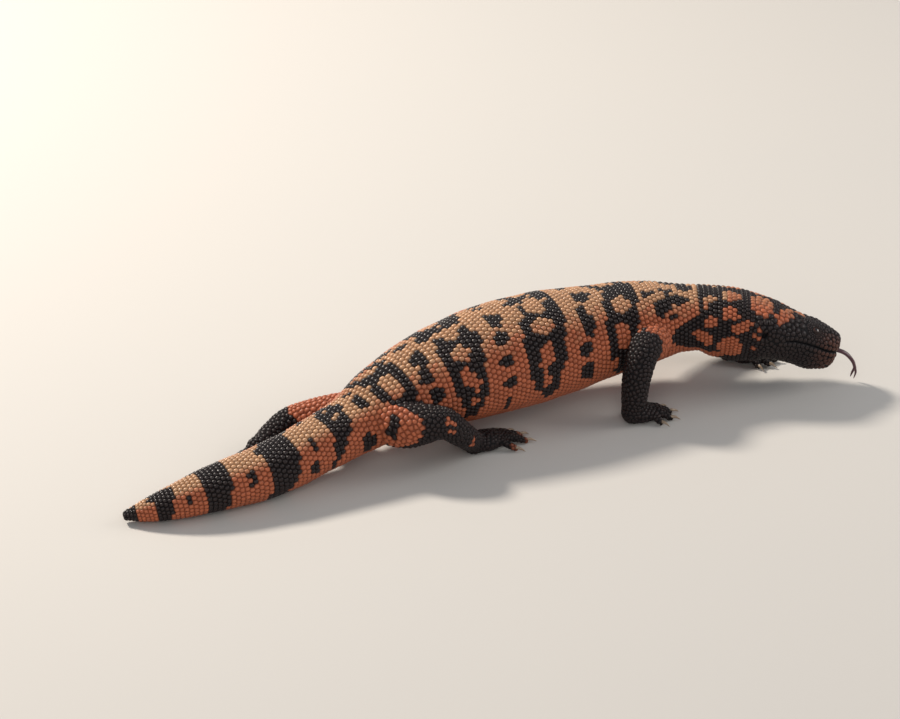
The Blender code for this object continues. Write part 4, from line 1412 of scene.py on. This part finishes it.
def makeLids():
    # one closed ring a side: an almond opening over the eye, its edge rounded
    pieces = []
    columns = 56
    radius = skinForm["eyeRadius"]
    for side in ("left", "right"):
        middle, across, high, outward = eyeAxes(side)
        turns = np.linspace(0, 2 * math.pi, columns, endpoint=False)
        wide, tall = eyeForm["opening"]
        x = wide * np.cos(turns)
        y = tall * np.sin(turns) * (1 - 0.35 * np.cos(turns) ** 2)
        opening = np.arcsin(np.hypot(x, y) / radius)
        way = np.arctan2(y, x)
        points = []
        # share of the way from the opening to the rim, height over the eye
        edge, lid = eyeForm["edge"], eyeForm["lid"]
        rows = ((0.0, 0.02), (0.0, edge * 0.6), (0.05, edge), (0.16, edge * 1.05),
                (0.24, lid * 0.8), (0.5, lid), (0.8, lid * 1.2), (1.0, lid),
                (1.0, -0.2), (0.5, -0.2))
        for share, lift in rows:
            angle = opening + (1.42 - opening) * share
            out = np.outer(np.cos(way) * np.sin(angle), across)
            out = out + np.outer(np.sin(way) * np.sin(angle), high)
            out = out + np.outer(np.cos(angle), outward)
            points.append(middle + out * (radius + lift))
        count = len(rows)
        faces = []
        for row in range(count):
            below = (row + 1) % count
            for column in range(columns):
                beside = (column + 1) % columns
                faces.append((row * columns + column, row * columns + beside,
                              below * columns + beside, below * columns + column))
        pieces.append((np.vstack(points), faces))
    piece = joinMeshes("lids", pieces)
    piece.data.shade_smooth()
    look = Finish("lid")
    # fine granules, deeper and darker between them
    cells = look.node("ShaderNodeTexVoronoi", {}, {"Vector": look.place, "Scale": 950.0})
    dome = 1.0 - cells * cells
    colour = look.mix(look.noise(1400.0, 4.0), linear(0.008, 0.005, 0.005),
                      linear(0.034, 0.015, 0.011))
    colour = look.vectorMaths("SCALE", colour, scale=0.25 + 0.85 * dome)
    look.set(Base_Color=colour, Roughness=0.50 + 0.15 * look.noise(700.0),
             Specular_IOR_Level=0.3)
    look.bump(dome, 0.0005)
    piece.data.materials.append(look.material)
    return piece


tongueForm = {
    # along the heading, height, half width, half thickness
    "stem": ((205.0, 24.8, 1.9, 1.2), (214.0, 22.2, 1.9, 1.25), (220.0, 19.6, 1.8, 1.25),
             (224.4, 14.6, 1.7, 1.15), (226.2, 9.6, 1.5, 1.0)),
    "tines": (((226.0, 10.6), (226.8, 6.2), (225.8, 1.8)),
              ((226.0, 10.6), (224.4, 7.4), (223.4, 4.6))),
    "spread": (1.4, -1.6),
    "tine": 0.9,
}


def makeTongue():
    heading = direction(shape["headYaw"])
    left = np.array((-heading[1], heading[0], 0.0))

    def place(along, high, aside=0.0):
        spot = headStart + heading * (along - headStart[0]) + left * aside
        return (spot[0], spot[1], high)

    stem = SmoothLine([(*place(a, h), w, t, t) for a, h, w, t in tongueForm["stem"]], carried=True)
    pieces = [tube(stem, 20, 0.6, plainLift)]
    for rows, spread in zip(tongueForm["tines"], tongueForm["spread"]):
        made = []
        for (a, h), aside, share in zip(rows, (0.3, 0.8, 1.0), (1.0, 0.8, 0.3)):
            thick = tongueForm["tine"] * share
            made.append((*place(a, h, aside * spread), thick, thick, thick))
        pieces.append(tube(SmoothLine(made, carried=True), 12, 0.5, plainLift))
    piece = joinMeshes("shown_tongue", pieces)
    applyModifier(piece, "REMESH", mode="VOXEL", voxel_size=0.00028)
    applyModifier(piece, "SMOOTH", factor=0.5, iterations=3)
    piece.data.shade_smooth()
    piece.data.materials.append(glossy("tongue", linear(0.085, 0.018, 0.026), 0.28, 500.0,
                                       linear(0.05, 0.012, 0.02)))
    return piece


clawForm = {
    "rows": ((-0.35, 2.2, 1.15), (0.2, 2.75, 1.0), (0.6, 2.2, 0.65), (1.0, 0.9, 0.12)),
    "length": 5.5,
}


def makeClaws():
    pieces = []
    for name in shape["feet"]:
        palm, ahead, left, heading = palmAxes(name)
        inner = 1 if "Right" in name else -1
        for angle, reach in shape["hindToes" if "hind" in name else "foreToes"]:
            out = direction(heading + inner * angle)
            rows = []
            for share, high, wide in clawForm["rows"]:
                spot = palm + out * (reach + share * clawForm["length"])
                rows.append((spot[0], spot[1], high, wide * 0.75, wide, wide))
            pieces.append(tube(SmoothLine(rows), 12, 0.5, plainLift))
    piece = joinMeshes("claws", pieces)
    piece.data.shade_smooth()
    piece.data.materials.append(glossy("claw", linear(0.42, 0.32, 0.22), 0.3, 300.0,
                                       linear(0.20, 0.13, 0.085)))
    return piece


eyes = makeEyes()
lids = makeLids()
tongue = makeTongue()
claws = makeClaws()
print("eyes, tongue and claws", flush=True)

solids = ["tail_end", "tail_mid", "tail_base", "pelvis", "belly", "chest", "neck", "head",
          "lower_jaw"]
solids += [side + part for side in ("fore_right", "fore_left", "hind_right", "hind_left")
           for part in ("_upper", "_lower", "_foot")]
dressed = [(skin, "skin", solids), *[(piece, "skin", ()) for piece in coatPieces]]
dressed += [(eyes[0], "eye", ["eye_left"]), (eyes[1], "eye", ["eye_right"]),
            (lids, "dark_skin", ()), (tongue, "tongue", ["tongue"]), (claws, "claw", ())]
for piece, slot, nodes in dressed:
    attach(piece, "root")
    if nodes:
        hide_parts(*nodes)

# Floor, lights and camera
stage = {
    "floor": linear(0.60, 0.57, 0.53),
    "world": (linear(0.82, 0.87, 0.95), 0.34),
    # place, size, power, colour
    "lights": (((-0.75, 1.15, 1.25), 0.32, 42.0, (1.0, 0.92, 0.82)),
               ((-0.6, -1.5, 1.0), 1.4, 9.0, (1.0, 0.96, 0.92)),
               ((1.4, -0.3, 0.8), 0.9, 8.0, (1.0, 0.97, 0.94))),
}


def makeStage():
    size = 6.0
    mesh = bpy.data.meshes.new("floor")
    mesh.from_pydata([(-size, -size, 0), (size, -size, 0), (size, size, 0), (-size, size, 0)], [],
                     [(0, 1, 2, 3)])
    floor = linkObject("floor", mesh)
    look = Finish("floor")
    colour = look.mix(look.noise(3.0), stage["floor"], linear(0.58, 0.56, 0.53))
    look.set(Base_Color=colour, Roughness=0.8)
    mesh.materials.append(look.material)
    floor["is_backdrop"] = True
    world = bpy.data.worlds.new("studio")
    world.use_nodes = True
    background = world.node_tree.nodes["Background"]
    background.inputs["Color"].default_value, background.inputs["Strength"].default_value = \
        stage["world"]
    bpy.context.scene.world = world
    bpy.context.scene.view_settings.view_transform = "Standard"
    for index, (place, size, power, colour) in enumerate(stage["lights"]):
        light = bpy.data.lights.new("light %d" % index, "AREA")
        light.shape = "DISK"
        light.size = size
        light.energy = power
        light.color = colour
        lamp = linkObject(light.name, light)
        lamp.location = place
        lamp.rotation_euler = (-Vector(place)).to_track_quat("-Z", "Y").to_euler()


def makeCamera():
    azimuth, elevation, distance, focal = math.radians(20), math.radians(28), 2.2, 3740.0
    right = np.array((math.cos(azimuth), -math.sin(azimuth), 0))
    flat = np.array((math.sin(azimuth), math.cos(azimuth), 0))
    forward = flat * math.cos(elevation) - np.array((0, 0, 1)) * math.sin(elevation)
    up = np.cross(right, forward)
    target = np.array((0.0067, -0.0122, 0.0))
    place = target - distance * (forward + 50 / focal * right - 72.5 / focal * up)
    data = bpy.data.cameras.new("camera")
    data.sensor_width = 36.0
    data.lens = focal / 900 * 36.0
    data.dof.use_dof = False
    camera = linkObject("camera", data)
    camera.location = place
    camera.rotation_euler = Vector(forward).to_track_quat("-Z", "Y").to_euler()
    bpy.context.scene.camera = camera


makeStage()
makeCamera()
low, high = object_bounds()
